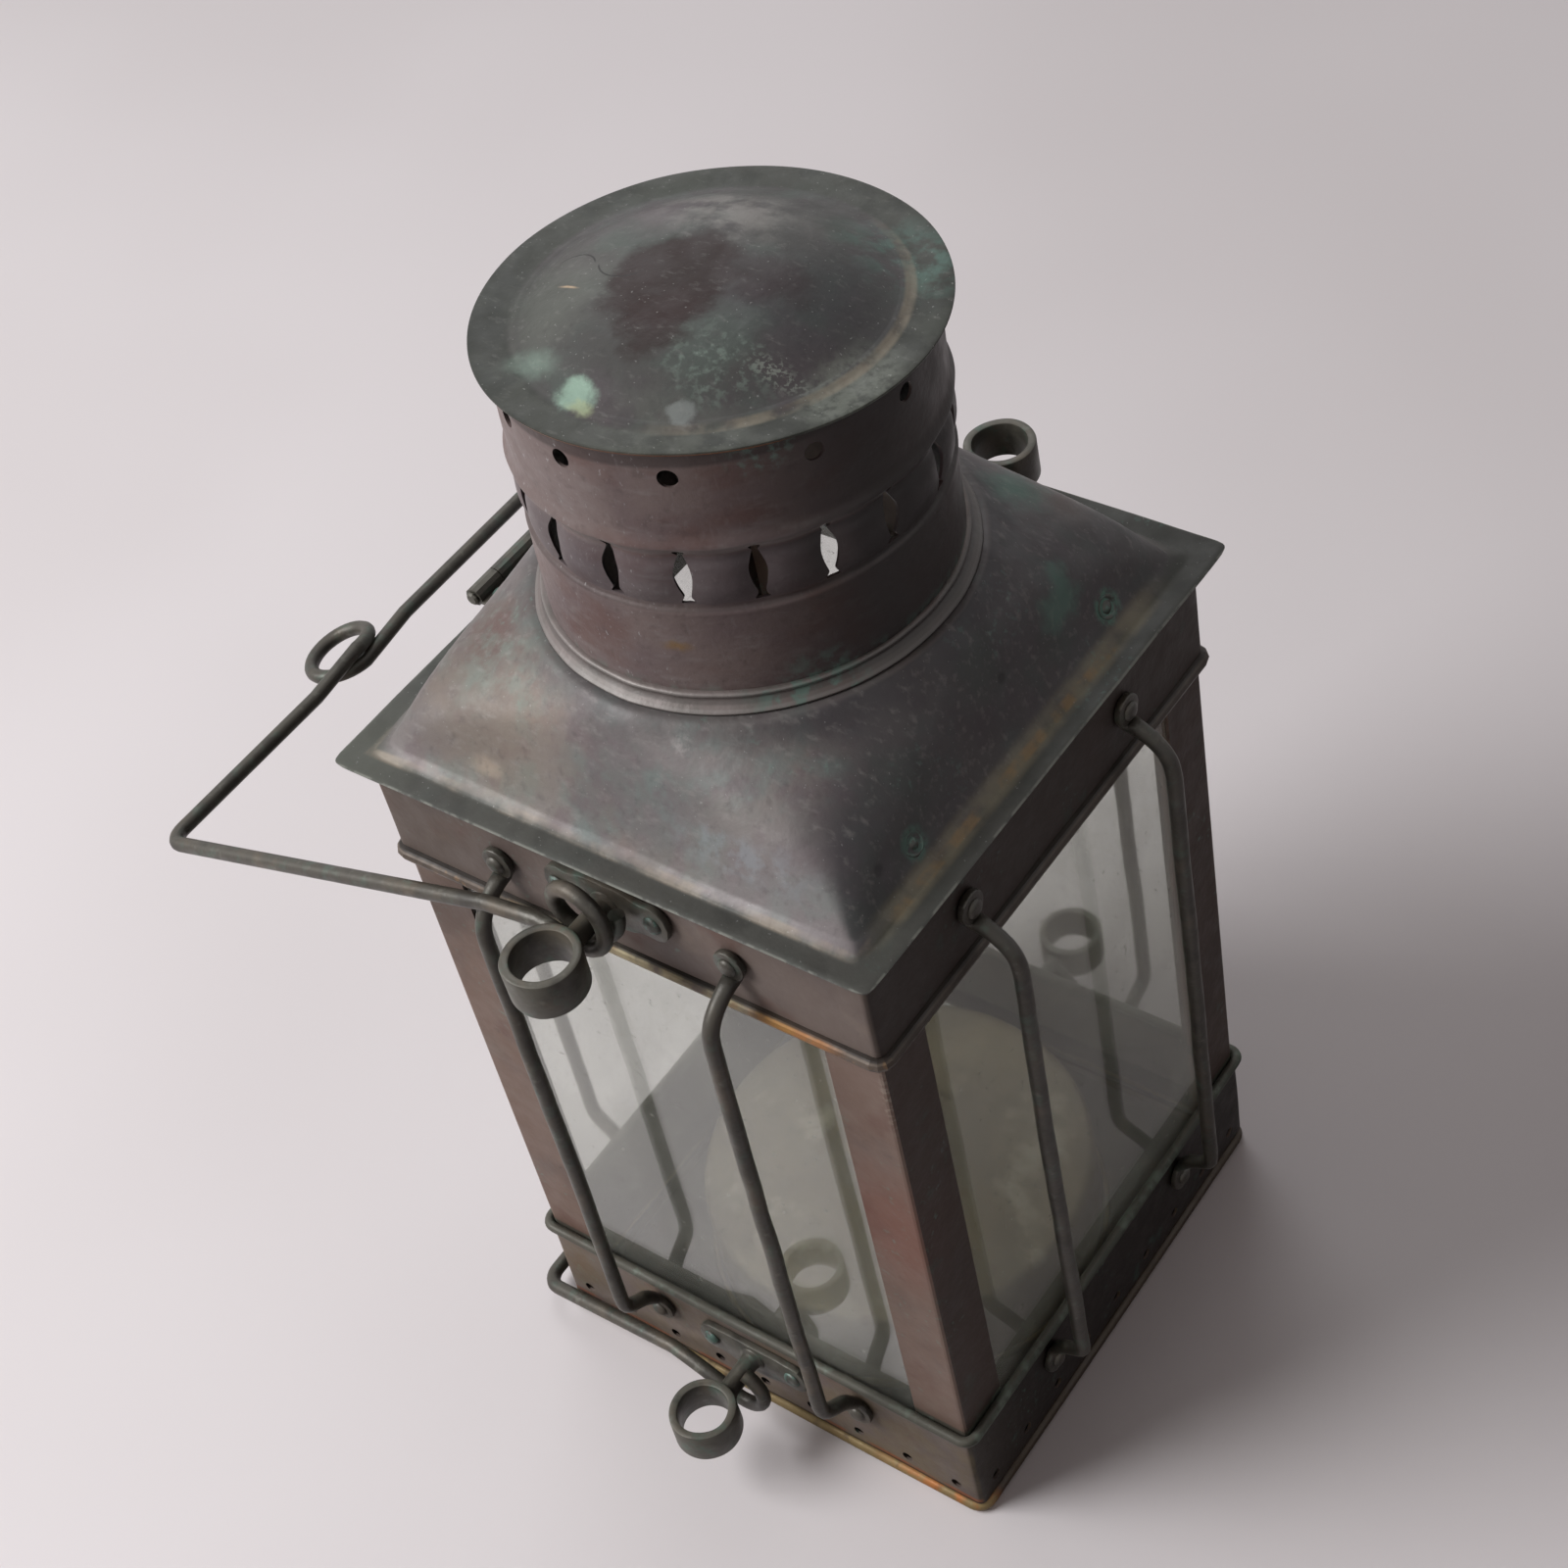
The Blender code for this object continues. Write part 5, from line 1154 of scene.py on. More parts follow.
def sleeve(name, half, low, high, corner, columns, rows):
    """A square sleeve of sheet with rounded corners, cut into a fine mesh."""
    piece = block(name, (0, 0, (low + high) / 2), (2 * half, 2 * half, high - low))
    for face in piece.data.polygons:
        face.select = abs(face.normal.z) > 0.5
    edit_selected(piece)
    bpy.ops.mesh.delete(type="ONLY_FACE")
    clear()
    for edge in piece.data.edges:
        one, two = (piece.data.vertices[i].co for i in edge.vertices)
        edge.select = abs(one.z - two.z) > 0.5 * (high - low)
    edit_selected(piece, "EDGE")
    bpy.ops.mesh.bevel(offset=corner, segments=5, affect="EDGES")
    for axis, count, start, end in ((0, columns, -half, half), (1, columns, -half, half),
                                    (2, rows, low, high)):
        normal = [0, 0, 0]
        normal[axis] = 1
        for i in range(1, count):
            at = [0, 0, 0]
            at[axis] = start + (end - start) * i / count
            bpy.ops.mesh.select_all(action="SELECT")
            bpy.ops.mesh.bisect(plane_co=at, plane_no=normal)
    bpy.ops.mesh.select_mode(type="VERT")
    return mended(piece)


def square_path(half, corner, height, steps=6):
    """A level square path with rounded corners."""
    points = []
    for side in range(4):
        middle = pi / 2 * side + pi / 4
        cx = (half - corner) * sqrt(2) * cos(middle)
        cy = (half - corner) * sqrt(2) * sin(middle)
        for i in range(steps + 1):
            a = pi / 2 * (side + i / steps)
            points.append((cx + corner * cos(a), cy + corner * sin(a), height))
        for share in (0.25, 0.5, 0.75):
            a = pi / 2 * (side + 1)
            nx, ny = cos(a), sin(a)
            start = (half - corner) * (1 - 2 * share)
            points.append((nx * half + ny * start, ny * half - nx * start, height))
    return points


def build_upper_band(s, material):
    band = sleeve("upper_band_sheet", BAND_OUT, UPPER[0][2], UPPER[1][2], s.corner + s.sheet, 22, 6)
    uneven(band, 0.00035, 0.030, 2.0, 0.4)
    modified(band, "SOLIDIFY", thickness=s.sheet, offset=-1.0)
    return fitted(rounded(band, 40), material, "case", "brown_copper", "upper_band")


def build_lower_band(s, material):
    edge = LOWER[1][2] + s.band_lift - s.wired_edge
    band = sleeve("lower_band_sheet", BAND_OUT, LOWER[0][2], edge, s.corner + s.sheet, 22, 6)
    uneven(band, 0.00035, 0.028, 12.0, 0.4)
    modified(band, "SOLIDIFY", thickness=s.sheet, offset=-1.0)
    outline = [(0, 0), (VENT_RADIUS, 0), (VENT_RADIUS, VENT_DRILL), (0, VENT_DRILL)]
    drill = to_front(spun("vent_drill", outline, 16), BAND_OUT - VENT_DRILL / 2, VENT_Z)
    tools = []
    for side in range(4):
        turn = Matrix.Rotation(pi / 2 * side, 4, "Z")
        for i in range(VENTS):
            along = VENT_SPAN * (i / (VENTS - 1) - 0.5)
            tools.append(moved(copied(drill, "cutter"), turn @ Matrix.Translation((along, 0, 0))))
    removed(drill)
    bored(band, joined("cutters", *tools))
    rim = wire("wired_edge", square_path(BAND_OUT + 0.0009, 0.0040, edge), s.wired_edge, closed=True)
    uneven(rim, 0.0004, 0.022, 7.0, 0.6)
    band = joined("lower_band_sheet", band, rim)
    return fitted(rounded(band, 40), material, "case", "brown_copper", "lower_band")


def build_vent_shade_sheet(s, material):
    """Black strip behind the vent holes, in front of the panes: painted shade, so that the holes look
    dark.
    """
    shade_sheet = sleeve("vent_baffle", BAND_OUT - 0.0014, SHADE_SHEET_LOW, SHADE_SHEET_HIGH, s.corner, 2, 1)
    return fitted(rounded(shade_sheet), material, "case", "brown_copper")


def build_base_roll(s, material):
    """Rolled edge of the base pan, standing out all round under the lower band."""
    r = s.base_roll
    roll = wire("rolled_pan_edge", square_path(BAND_OUT - 0.0004, 0.0044, r + 0.0003), r, closed=True)
    uneven(roll, 0.0003, 0.020, 9.0, 0.3)
    return fitted(rounded(roll, 60), material, "case", "brown_copper")


# --- wire work ------------------------------------------------------------------------------
GUARD_BOW = 0.0012      # how far a guard is bowed aside at most
FOOT_SHIFT = 0.0018     # how far its foot stands aside
PLATE_HALF = 0.0080     # half the height of a bracket's plate
CATCH_PLACE = (0.0764, 0.0475, 0.2764)
CATCH_OUT = Vector((0.9014, 0.0, 0.4331))


def rivet_head(name, s, scale=1.0):
    """Hammered head, with its flat underside on z = 0."""
    r = s.rivet_head * scale
    rise = s.rivet_rise * scale
    profile = [(0, 0), (r * 0.9, 0), (r, rise * 0.12), (r * 0.97, rise * 0.34), (r * 0.86, rise * 0.62),
               (r * 0.66, rise * 0.86), (r * 0.40, rise * 0.97), (r * 0.2, rise), (0, rise)]
    return spun(name, profile, 24)


def guard_stations(s):
    """(out, height, half width, half thickness) down the middle of one guard."""
    thin = s.ear_thickness / 2
    near_band = GUARD[1][1] * -1 + thin
    out = -GUARD[0][1] - s.wire
    top = GUARD[1][2] - s.ear
    foot = GUARD[0][2] + s.ear + s.foot_lift
    shoulder = top - 0.0098
    heel = LOWER[1][2] + 0.0059
    w = s.wire
    ear = s.ear
    return [
        (near_band, top + ear * 0.99, ear * 0.20, thin * 0.75),
        (near_band, top + ear * 0.86, ear * 0.52, thin), (near_band, top + ear * 0.5, ear * 0.87, thin),
        (near_band, top, ear, thin), (near_band, top - ear * 0.5, ear * 0.86, thin),
        (near_band + thin * 0.3, top - ear * 0.95, w * 1.15, thin * 1.25),
        (near_band + 0.0034, shoulder + 0.0040, w * 1.02, w * 0.92),
        (out - 0.0048, shoulder + 0.0008, w, w), (out - 0.0015, shoulder - 0.0032, w, w),
        (out - 0.0002, shoulder - 0.0085, w, w), (out, shoulder - 0.0200, w, w),
        (out, shoulder - 0.0750, w, w), (out, heel + 0.075, w, w), (out, heel + 0.0160, w, w),
        (out - 0.0001, heel + 0.0045, w, w), (out - 0.0010, heel + 0.0006, w, w),
        (out - 0.0034, heel - 0.0016, w, w), (out - 0.0075, heel - 0.0042, w, w * 0.98),
        (near_band + 0.0037, heel - 0.0062, w, w * 0.9),
        (near_band + 0.0017, heel - 0.0085, w * 1.05, thin * 1.4),
        (near_band + 0.0004, foot + ear * 1.15, w * 1.10, thin * 1.1),
        (near_band, foot + ear * 0.5, ear * 0.90, thin), (near_band, foot, ear, thin),
        (near_band, foot - ear * 0.5, ear * 0.87, thin),
        (near_band, foot - ear * 0.86, ear * 0.52, thin),
        (near_band, foot - ear * 0.99, ear * 0.20, thin * 0.75),
    ]


def swept_flat(name, stations, sides=14):
    """A bar whose section goes from round to flat. It runs in the plane x = 0, out towards -Y."""
    rings = []
    last = len(stations) - 1
    for i, (out, z, wide, thick) in enumerate(stations):
        ahead = stations[min(i + 1, last)]
        behind = stations[max(i - 1, 0)]
        run = Vector((0, behind[0] - ahead[0], ahead[1] - behind[1])).normalized()
        side = Vector((0, run.z, -run.y))
        square = 2.0 + 2.2 * max(0.0, 1.0 - thick / wide) * 2
        ring = []
        for k in range(sides):
            a = 2 * pi * k / sides
            c, d = cos(a), sin(a)
            x = wide * abs(c) ** (2 / square) * (1 if c >= 0 else -1)
            y = thick * abs(d) ** (2 / square) * (1 if d >= 0 else -1)
            ring.append(Vector((x, -out, z)) + side * y)
        rings.append(ring)
    return rolled(name, rings, ends=True)


def build_guards(s, material):
    stations = eased(guard_stations(s), 4)
    bar = swept_flat("guard_wire", stations)
    face = -GUARD[1][1] + s.ear_thickness - 0.0001
    heads = []
    for z in (GUARD[1][2] - s.ear, GUARD[0][2] + s.ear + s.foot_lift):
        heads.append(to_front(rivet_head("guard_rivet", s), face, z))
    guard = joined("guard_wire", bar, *heads)
    pitch = (GUARD[0][0] + GUARD[1][0]) / 2
    for quarter, face_name in enumerate(FACES):
        for number, shift in ((1, pitch), (2, -pitch)):
            copy = copied(guard, f"guard_wire_{face_name}_{number}")
            lean = GUARD_BOW * sin(2.7 * quarter + 1.9 * number)

            def bowed(place, lean=lean):
                foot = FOOT_SHIFT * clipped((0.048 - place.z) / 0.014)
                return Vector((lean * sin(pi * (place.z - 0.02) / 0.23) + foot, 0, 0))

            pushed(copy, bowed)
            moved(copy, Matrix.Rotation(pi / 2 * quarter, 4, "Z") @ Matrix.Translation((shift, 0, 0)))
            uneven(copy, 0.00035, 0.02, 3.0 + quarter)
            fitted(rounded(copy, 50), material, "case", "old_brass", f"guard_{face_name}_{number}")
    removed(guard)


def bracket(name, s, plate_top):
    """Riveted plate, stud and guide ring on the front face, with the stud at z = 0."""
    half = [(0.0, -0.0079), (0.0050, -0.0080), (0.0080, -0.0074), (0.0104, -0.0064), (0.0130, -0.0060),
            (0.0160, -0.0064), (0.0186, -0.0057), (0.0204, -0.0036), (0.0212, 0.0)]
    half += [(x, -z) for x, z in half[-2::-1]]
    half = [(x, min(z, plate_top)) for x, z in half]
    plate = cut_out("plate", half + [(-x, z) for x, z in half[-2:0:-1]], s.plate)
    modified(plate, "BEVEL", width=0.0005, segments=2, limit_method="ANGLE", angle_limit=radians(50))
    moved(plate, Matrix.Translation((0, -BAND_OUT - 0.0003, 0)))
    tip = s.ring_reach - s.ring_outer + 0.0012
    root = 0.0003 + s.plate
    stud_line = [(0, root - 0.0004), (s.stud + 0.0016, root - 0.0004), (s.stud + 0.0013, root + 0.0004),
                 (s.stud + 0.0003, root + 0.0010), (s.stud, root + 0.0022), (s.stud, tip - 0.0026),
                 (s.stud + 0.0004, tip - 0.0014), (s.stud + 0.0012, tip - 0.0004), (0, tip)]
    stud = spun("stud", stud_line, 28)
    to_front(stud, BAND_OUT, 0)
    high = s.ring_height / 2
    ease = 0.0006
    lip = [(s.ring_bore, ease), (s.ring_bore + 0.3 * ease, 0.3 * ease), (s.ring_bore + ease, 0.0),
           (s.ring_outer - ease, 0.0), (s.ring_outer - 0.3 * ease, 0.3 * ease), (s.ring_outer, ease)]
    wall = [(r, -high + inset) for r, inset in lip] + [(r, high - inset) for r, inset in reversed(lip)]
    ring = spun("ring", wall, 64)
    moved(ring, Matrix.Translation((0, -BAND_OUT - s.ring_reach, 0)))
    return joined(name, plate, stud, ring)


def build_brackets(s, material):
    for level_name, z in (("top", TOP_PIVOT), ("bottom", LOW_PIVOT)):
        plate_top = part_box(f"guide_bracket_{level_name}_front")[1][2] - z
        pattern = bracket("bracket", s, min(plate_top, PLATE_HALF))
        for face_name, turn in (("front", 0.0), ("back", pi)):
            place = f"{level_name}_{face_name}"
            copy = copied(pattern, "guide_ring_bracket_" + place)
            moved(copy, Matrix.Rotation(turn, 4, "Z") @ Matrix.Translation((0, 0, z)))
            uneven(copy, 0.0004, 0.012, 5.0 + z, 0.5)
            fitted(rounded(copy), material, "case", "old_brass", "guide_bracket_" + place)
        removed(pattern)


def build_rivets(s, material):
    """Domed heads over every rivet of the brackets and the hinge."""
    head = rivet_head("rivet", s, 1.05)
    face = BAND_OUT + 0.0003 + s.plate - 0.0001
    for level_name in ("top", "bottom"):
        for face_name, turn in (("front", 0.0), ("back", pi)):
            for number in (1, 2):
                node_name = f"bracket_rivet_{level_name}_{face_name}_{number}"
                at = middle_of(node_name)
                copy = copied(head, f"rivet_{level_name}_{face_name}_{number}")
                side = -1 if face_name == "front" else 1
                place = Matrix.Translation((at.x, side * face, at.z)) @ Matrix.Rotation(turn, 4, "Z")
                moved(copy, place @ Matrix.Rotation(pi / 2, 4, "X"))
                uneven(copy, 0.0003, 0.003, 2.0 + number)
                fitted(rounded(copy, 50), material, "case", "old_brass", node_name)
    for body, number in (("case", 1), ("case", 2), ("lid", 1), ("lid", 2)):
        node_name = f"hinge_rivet_{body}_{number}"
        out = Vector((-1, 0, 0)) if body == "case" else Vector((0, 0, 1))
        at = middle_of(node_name)
        reach = abs(out.dot(Vector(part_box(node_name)[1]) - at))
        copy = copied(head, "head_" + node_name)
        moved(copy, facing(at + out * max(reach - s.rivet_rise, 0.0), out))
        uneven(copy, 0.0003, 0.003, 4.0)
        fitted(rounded(copy, 50), material, body, "old_brass", node_name)
    removed(head)


def build_catch_rivets(material):
    """Flat ringed heads, drawn down into the roof."""
    profile = [(0, -0.0006), (0.0034, -0.0006), (0.0036, 0.0002), (0.0035, 0.0006), (0.0031, 0.0007),
               (0.0027, 0.0004), (0.0023, 0.0001), (0.0018, 0.0003), (0.0014, 0.0008), (0.0007, 0.0011),
               (0, 0.0012)]
    disc = spun("catch_head", profile, 28)
    out_x, aside, height = CATCH_PLACE
    for number, side in ((1, -1), (2, 1)):
        copy = copied(disc, f"catch_head_{number}")
        moved(copy, facing(Vector((out_x, side * aside, height)), CATCH_OUT))
        uneven(copy, 0.0003, 0.003, 6.0)
        node_name = f"catch_rivet_{number}"
        if middle_of(node_name).y * side < 0:
            node_name = f"catch_rivet_{3 - number}"
        fitted(rounded(copy, 50), material, "lid", "old_brass", node_name)
    removed(disc)


# --- bails ------------------------------------------------------------------------------
TOP_EYE = 0.0072         # inner radii of the eyes
LOW_EYE = 0.0068
TOP_EYE_TURN = 470.0     # how far each eye goes round its stud, in degrees
LOW_EYE_TURN = 185.0
EYE_LAP = 0.0064         # how far the top eye's second turn stands beside its first
CRANK_START = 0.0160
CRANK_END = 0.0360
BAIL_RISE = 0.0041
BAIL_CORNER = 0.0065
TOP_BAIL_DROP = 0.31677  # below level at rest on the guards, in radians
LOOP_RADIUS = 0.0110
LOOP_SHIFT = -0.0050


def eye_turn(s, inner, turn, lap, plane, shift, leg_start, steps=36):
    """Front eye of a bail round its stud, as (out, y, up), from its free end to the leg."""
    radius = inner + s.wire
    out, up = leg_start
    tangent = atan2(up - shift, out) - acos(radius / hypot(out, up - shift))
    points = []
    for i in range(steps + 1):
        a = tangent - radians(turn) * (1 - i / steps)
        aside = lap * (1 - min(1.0, i / (steps * 0.9)))
        points.append((radius * cos(a), aside - plane, shift + radius * sin(a)))
    return points


def bent(path, index, radius, steps=8):
    """Puts an arc in place of one corner of a path."""
    corner = Vector(path[index])
    one = (Vector(path[index - 1]) - corner).normalized()
    two = (Vector(path[index + 1]) - corner).normalized()
    half = one.angle(two) / 2
    centre = corner + (one + two).normalized() * radius / sin(half)
    start = (corner + one * radius / (sin(half) / cos(half)) - centre).normalized()
    end = (corner + two * radius / (sin(half) / cos(half)) - centre).normalized()
    arc = [tuple(centre + radius * start.slerp(end, i / steps)) for i in range(steps + 1)]
    return list(path[:index]) + arc + list(path[index + 1:])


def swing(points, drop):
    """From (out, y, up) to (x, y, z), out pointing to -X and down by drop."""
    return [(-out * cos(drop) - up * sin(drop), y, up * cos(drop) - out * sin(drop))
            for out, y, up in points]


def hanging_loop(s, reach, steps=36):
    """The closed turn in the middle of the top bail."""
    lift = s.wire + 0.0003
    points = []
    for i in range(steps + 1):
        a = 2 * pi * i / steps - pi / 2
        points.append((reach + LOOP_RADIUS * (1 + sin(a)), LOOP_SHIFT + LOOP_RADIUS * cos(a),
                       BAIL_RISE + lift * (1 - 2 * i / steps)))
    return [(reach, LOOP_SHIFT - 2 * LOOP_RADIUS, BAIL_RISE), *points,
            (reach, LOOP_SHIFT + 2 * LOOP_RADIUS, BAIL_RISE)]


def bail(name, s, eye, leg, middle, drop, axis_z):
    front = eye + leg
    back = [(out, -y, up) for out, y, up in reversed(front)]
    path = front + middle + back
    path = bent(path, len(front) + len(middle), BAIL_CORNER)
    path = bent(path, len(front) - 1, BAIL_CORNER)
    piece = wire(name, [(x, y, z + axis_z) for x, y, z in swing(path, drop)], s.wire, rings=4)
    return uneven(piece, 0.0005, 0.035, 8.0, 0.4)


def build_bails(s, material):
    shift = TOP_EYE - s.stud - 0.0003
    crank = (CRANK_START, shift / 2)
    half = BAND_OUT + 0.0131
    reach = BAND_OUT + 0.1051
    eye = eye_turn(s, TOP_EYE, TOP_EYE_TURN, EYE_LAP, half, shift, crank)
    leg = [(crank[0], -half, crank[1]), (CRANK_END, -half, BAIL_RISE), (reach, -half, BAIL_RISE)]
    top = bail("hanging_bail", s, eye, leg, hanging_loop(s, reach), TOP_BAIL_DROP, TOP_PIVOT)
    fitted(rounded(top, 60), material, "top_bail", "old_brass", "top_bail")
    shift = -s.stud
    crank = (CRANK_START, shift / 2)
    half = BAND_OUT + 0.0111
    reach = BAND_OUT + 0.0107
    drop = asin((LOW_PIVOT - 0.0069) / reach)
    eye = eye_turn(s, LOW_EYE, LOW_EYE_TURN, 0.0, half, shift, crank, 20)
    leg = [(crank[0], -half, crank[1]), (0.0300, -BAND_OUT - 0.0088, 0.0),
           (reach, -BAND_OUT - 0.0042, 0.0)]
    low = bail("carrying_bail", s, eye, leg, [], drop, LOW_PIVOT + 0.0003)
    fitted(rounded(low, 60), material, "bottom_bail", "old_brass", "bottom_bail")


# --- oil font ----------------------------------------------------------------------------
def build_font(material, brass):
    low, high = FONT[0][2], FONT[1][2]
    r = FONT[1][0]
    crown = high - 0.0030
    outer = [(0, low), (r - 0.0010, low), (r, low + 0.0010), (r, 0.0300)]
    outer += eased([(r, 0.0330), (r - 0.0008, 0.0358), (r - 0.0035, 0.0378), (r * 0.8, 0.0412),
                    (r * 0.55, 0.0458), (r * 0.3, crown - 0.0006), (0.0145, crown)], 4)
    outer += [(0.0140, crown + 0.0006), (0.0140, high), (0.0132, high), (0.0132, crown - 0.0010)]
    inner = [(r * 0.5, 0.0448), (r - 0.0045, 0.0366), (r - 0.0008, 0.0330), (r - 0.0008, low + 0.0010),
             (0, low + 0.0010)]
    font = spun("oil_tank", outer + inner, 96)
    fitted(rounded(font), material, "case", "tinplate", "oil_font")
    (_, _, low), (r, _, high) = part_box("font_ring")
    profile = [(r - 0.0018, low), (r, low), (r, high - 0.0006), (r - 0.0005, high), (r - 0.0013, high),
               (r - 0.0018, high - 0.0006)]
    ring = spun("tank_ring", profile, 96)
    fitted(rounded(ring), brass, "case", "brown_copper", "font_ring")
    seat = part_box("burner")[0][2]
    profile = [
        (0, 0), (0.0166, 0), (0.0170, 0.0004), (0.0170, 0.0016), (0.0162, 0.0020), (0.0162, 0.0044),
        (0.0150, 0.0056), (0.0146, 0.0074), (0.0138, 0.0080), (0, 0.0080),
    ]
    body = spun("burner_body", [(r, seat + up) for r, up in profile], 64)
    tube = block("wick_tube", (0, 0, seat + 0.0155), (0.026, 0.006, 0.017))
    modified(tube, "BEVEL", width=0.0008, segments=3, limit_method="ANGLE", angle_limit=radians(60))
    bored(tube, block("wick_slot", (0, 0, seat + 0.0200), (0.0228, 0.0034, 0.0360)))
    burner = joined("burner_body", body, tube)
    fitted(rounded(burner), brass, "case", "old_brass", "burner")


# --- operators ------------------------------------------------------------------------------
class LANTERN_OT_stage(bpy.types.Operator):
    """Puts up the floor, the lamps, the world and the camera"""
    bl_idname = "lantern.stage"
    bl_label = "Stage"

    def execute(self, context):
        build_stage(context.scene)
        return {"FINISHED"}


class LANTERN_OT_roof(bpy.types.Operator):
    """Makes the pressed roof"""
    bl_idname = "lantern.roof"
    bl_label = "Roof"

    def execute(self, context):
        build_roof(context.scene.lantern_sizes)
        return {"FINISHED"}


class LANTERN_OT_chimney(bpy.types.Operator):
    """Makes the punched chimney and the flared collar at its foot"""
    bl_idname = "lantern.chimney"
    bl_label = "Chimney"

    def execute(self, context):
        build_chimney(context.scene.lantern_sizes)
        build_collar(context.scene.lantern_sizes)
        return {"FINISHED"}


class LANTERN_OT_cap(bpy.types.Operator):
    """Makes the domed cap"""
    bl_idname = "lantern.cap"
    bl_label = "Cap"

    def execute(self, context):
        build_cap(context.scene.lantern_sizes)
        return {"FINISHED"}


class LANTERN_OT_case(bpy.types.Operator):
    """Makes the bands, and finishes the posts, rail, base pan and windows"""
    bl_idname = "lantern.case"
    bl_label = "Case"

    def execute(self, context):
        s = context.scene.lantern_sizes
        band = band_finish("brown_folded_copper_bands", colour("band"))
        build_upper_band(s, band)
        build_lower_band(s, band)
        coated(band_finish("red_brown_copper_posts", colour("post")), "corner_post_front_left",
               "corner_post_front_right", "corner_post_back_left", "corner_post_back_right")
        coated(rail_finish(), "upper_rail")
        build_base_roll(s, pan_finish())
        build_vent_shade_sheet(s, vent_shade_finish())
        coated(band_finish("grey_brown_copper_pan", colour("pan")), "base_pan")
        coated(glass_finish(), "glass_front", "glass_right", "glass_back", "glass_left")
        return {"FINISHED"}


class LANTERN_OT_wirework(bpy.types.Operator):
    """Makes the guards, the bails, the guide brackets and all rivets"""
    bl_idname = "lantern.wirework"
    bl_label = "Wire work"

    def execute(self, context):
        s = context.scene.lantern_sizes
        wire_brass = brass_finish("olive_brown_brass_wire", colour("wire"), 0.3)
        cast_brass = brass_finish("grey_olive_cast_brass", colour("casting"), 0.5)
        rivet_brass = rivet_finish()
        build_guards(s, wire_brass)
        build_bails(s, wire_brass)
        build_brackets(s, cast_brass)
        build_rivets(s, rivet_brass)
        build_catch_rivets(rivet_finish(catch=True))
        coated(cast_brass, "hinge_leaf_case", "hinge_leaf_lid", "hinge_pin", "catch_spring_1",
               "catch_spring_2")
        return {"FINISHED"}


class LANTERN_OT_font(bpy.types.Operator):
    """Makes the oil font with its ring and burner"""
    bl_idname = "lantern.font"
    bl_label = "Oil font"

    def execute(self, context):
        brass = brass_finish("brown_brass_burner", linear("#7a6a48"), 0.4)
        build_font(tin_finish(), brass)
        coated(cotton_finish(), "wick")
        return {"FINISHED"}


class LANTERN_PT_panel(bpy.types.Panel):
    """Lists the lantern's pieces"""
    bl_idname = "LANTERN_PT_panel"
    bl_label = "Lantern"
    bl_space_type = "VIEW_3D"
    bl_region_type = "UI"
    bl_category = "Lantern"

    def draw(self, context):
        for operator in OPERATORS:
            self.layout.operator(operator.bl_idname)
        for group in (context.scene.lantern_sizes, context.scene.lantern_colours):
            for key in group.__annotations__:
                self.layout.prop(group, key)


# --- stage ------------------------------------------------------------------------------
FLOOR_WIDTH = 14.0
WORLD_LIGHT = 0.16       # strength of the world's soft light, where 1 is what is seen directly
SOFT_TINT = (1.0, 0.88, 0.86, 1.0)
CAMERA_PLACE = Vector((0.39098, -0.40068, 0.78614))
CAMERA_TARGET = Vector((-0.01997, 0.00947, 0.1980))
CAMERA_ROLL = -0.23805   # radians
CAMERA_LENS = 63.55      # millimetres, before a sensor of this width
SENSOR_WIDTH = 36.0


def lamp(name, place, target, size, power, tint=(1.0, 1.0, 1.0)):
    clear()
    bpy.ops.object.light_add(type="AREA", location=place)
    item = bpy.context.object
    item.name = name
    item.data.shape = "DISK"
    item.data.size = size
    item.data.energy = power
    item.data.color = tint
    item.rotation_euler = (Vector(target) - Vector(place)).to_track_quat("-Z", "Y").to_euler()
    return item


def straight_rays(tree):
    """1 for what is seen directly, in a reflection or through glass, and 0 for soft light."""
    paths = node(tree, "ShaderNodeLightPath")
    seen = sums(tree, "MAXIMUM", paths.outputs["Is Camera Ray"], paths.outputs["Is Glossy Ray"])
    return sums(tree, "MAXIMUM", seen, paths.outputs["Is Transmission Ray"])


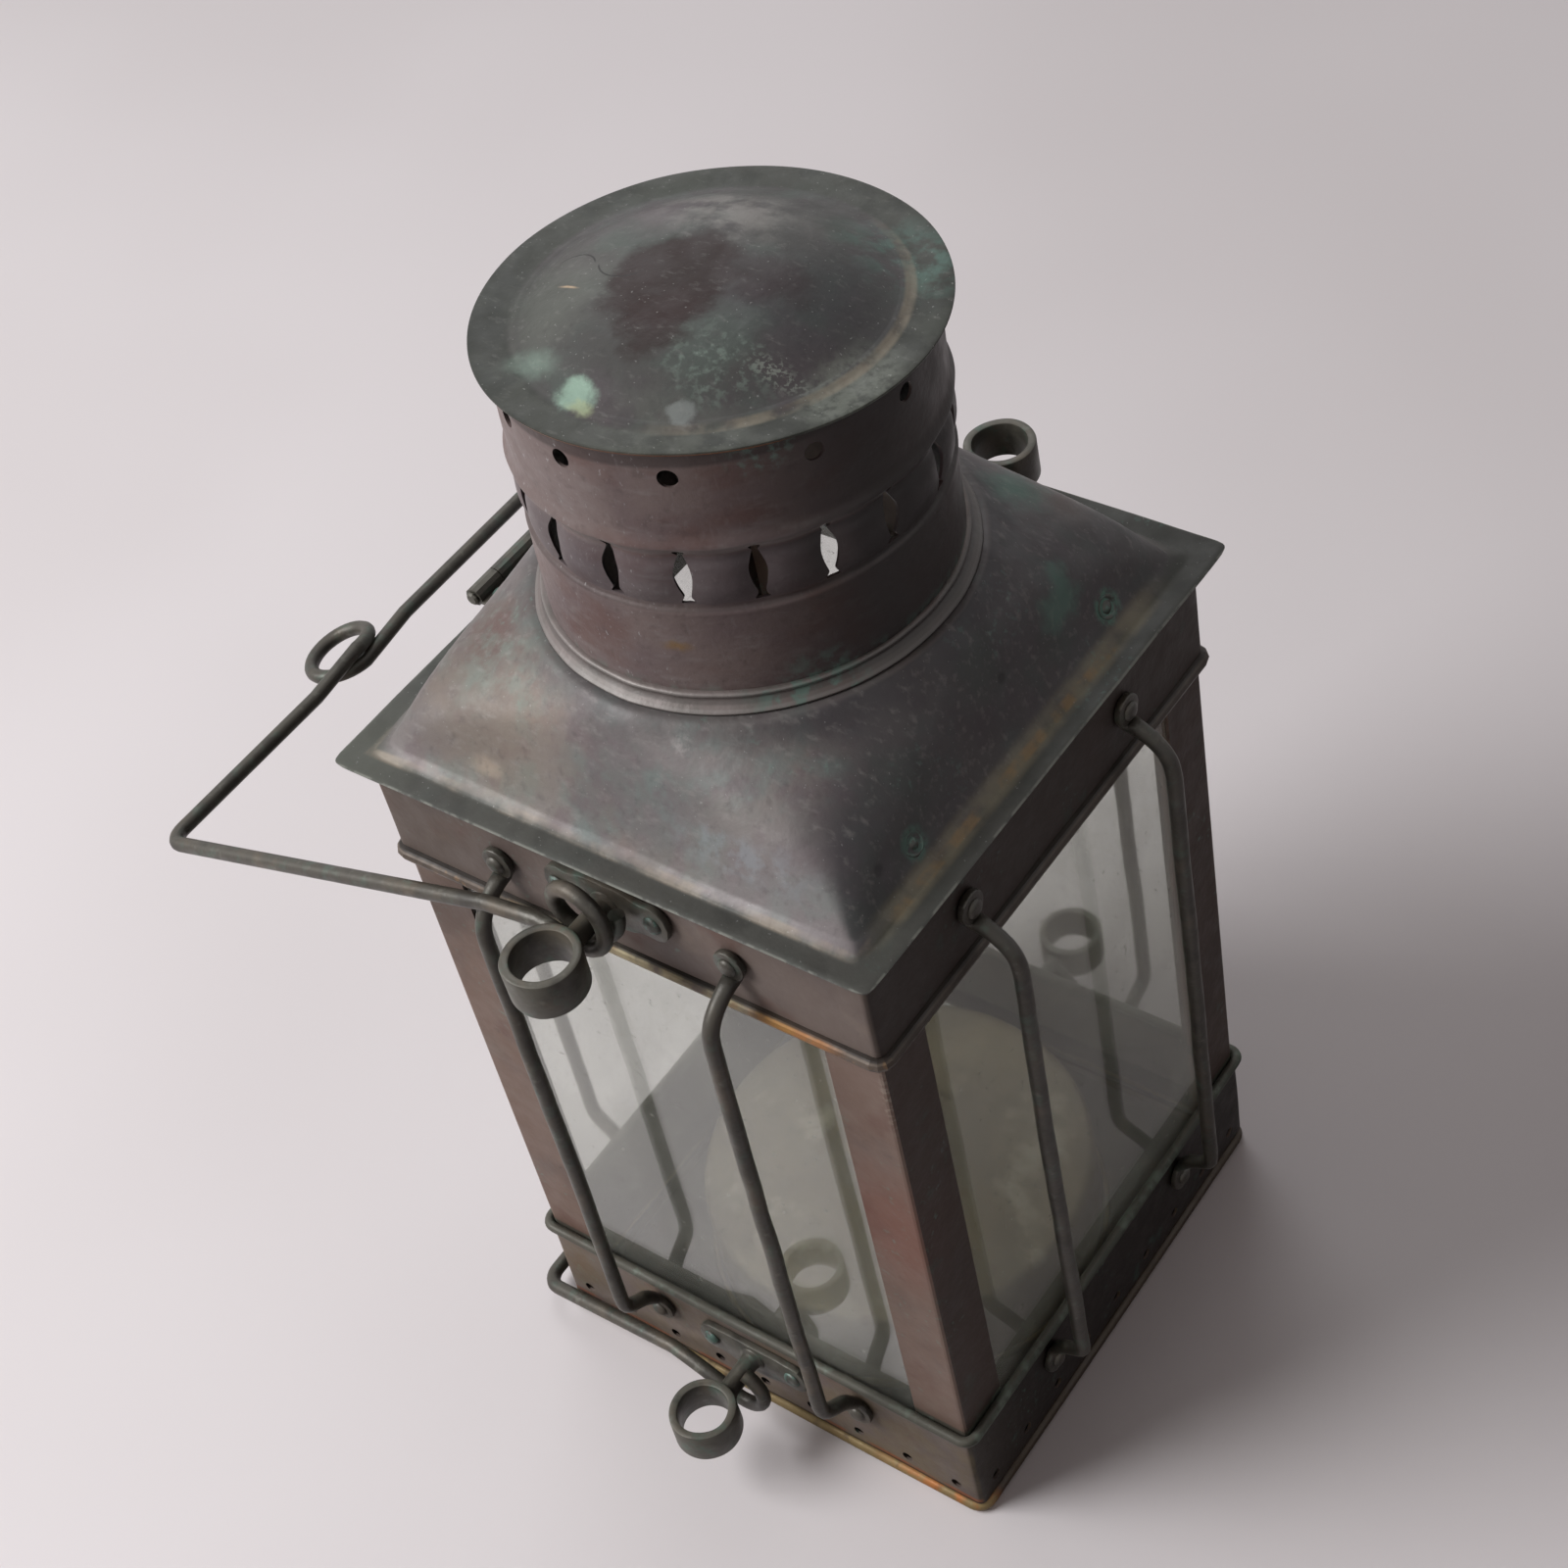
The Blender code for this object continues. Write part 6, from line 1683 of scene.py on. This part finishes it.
def build_stage(scene):
    clear()
    bpy.ops.mesh.primitive_plane_add(size=FLOOR_WIDTH, location=(0, 0, 0))
    floor = named("studio_floor")
    material = bpy.data.materials.new("pale_matt_floor")
    material.use_nodes = True
    tree = material.node_tree
    shader = tree.nodes["Principled BSDF"]
    mottle = layered(tree, colour("floor"), [("#cdc6c6", cloud(400.0, 0.3, 0.7, 1.0, 2.0), 0.4)])
    # For soft light alone the floor is grey, so that it doesn't light the dark side from below.
    shown = node(tree, "ShaderNodeMix", {0: straight_rays(tree), 6: linear("#8f8b8a"), 7: mottle},
                 data_type="RGBA")
    tree.links.new(shown.outputs[2], shader.inputs["Base Color"])
    shader.inputs["Roughness"].default_value = 0.55
    floor.data.materials.append(material)

    world = bpy.data.worlds.new("studio_world")
    scene.world = world
    world.use_nodes = True
    tree = world.node_tree
    strength = node(tree, "ShaderNodeMapRange",
                    {"Value": straight_rays(tree), "To Min": WORLD_LIGHT, "To Max": 1.0})
    background = tree.nodes["Background"]
    # The soft light is slightly warm. What is seen directly is white.
    tint = node(tree, "ShaderNodeMix", {0: straight_rays(tree), 6: SOFT_TINT,
                                        7: (1.0, 1.0, 1.0, 1.0)}, data_type="RGBA")
    tree.links.new(tint.outputs[2], background.inputs["Color"])
    tree.links.new(strength.outputs["Result"], background.inputs["Strength"])

    lamp("window_light", (-1.15, -1.05, 1.40), (0, 0, 0.15), 1.3, 43.0, (0.985, 0.99, 1.0))
    lamp("back_light", (-0.9, 0.9, 1.6), (0, 0, 0.25), 1.0, 5.0, (0.95, 0.97, 1.0))

    camera_data = bpy.data.cameras.new("studio_camera")
    camera = bpy.data.objects.new("studio_camera", camera_data)
    scene.collection.objects.link(camera)
    camera_data.lens = CAMERA_LENS
    camera_data.sensor_width = SENSOR_WIDTH
    ahead = (CAMERA_TARGET - CAMERA_PLACE).normalized()
    level_right = ahead.cross(Vector((0, 0, 1))).normalized()
    level_up = level_right.cross(ahead)
    right = cos(CAMERA_ROLL) * level_right + sin(CAMERA_ROLL) * level_up
    up = cos(CAMERA_ROLL) * level_up - sin(CAMERA_ROLL) * level_right
    turn = Matrix((right, up, -ahead)).transposed().to_4x4()
    turn.translation = CAMERA_PLACE
    camera.matrix_world = turn
    scene.camera = camera
    scene.view_settings.view_transform = "Standard"


OPERATORS = (LANTERN_OT_stage, LANTERN_OT_roof, LANTERN_OT_chimney, LANTERN_OT_cap, LANTERN_OT_case,
             LANTERN_OT_wirework, LANTERN_OT_font)
CLASSES = (LanternSizes, LanternColours, *OPERATORS, LANTERN_PT_panel)


def register():
    for item in CLASSES:
        bpy.utils.register_class(item)
    bpy.types.Scene.lantern_sizes = bpy.props.PointerProperty(type=LanternSizes)
    bpy.types.Scene.lantern_colours = bpy.props.PointerProperty(type=LanternColours)


def unregister():
    del bpy.types.Scene.lantern_colours
    del bpy.types.Scene.lantern_sizes
    for item in reversed(CLASSES):
        bpy.utils.unregister_class(item)


def main():
    register()
    bpy.ops.lantern.stage()
    bpy.ops.lantern.roof()
    bpy.ops.lantern.chimney()
    bpy.ops.lantern.cap()
    bpy.ops.lantern.case()
    bpy.ops.lantern.wirework()
    bpy.ops.lantern.font()


if __name__ == "__main__":
    main()
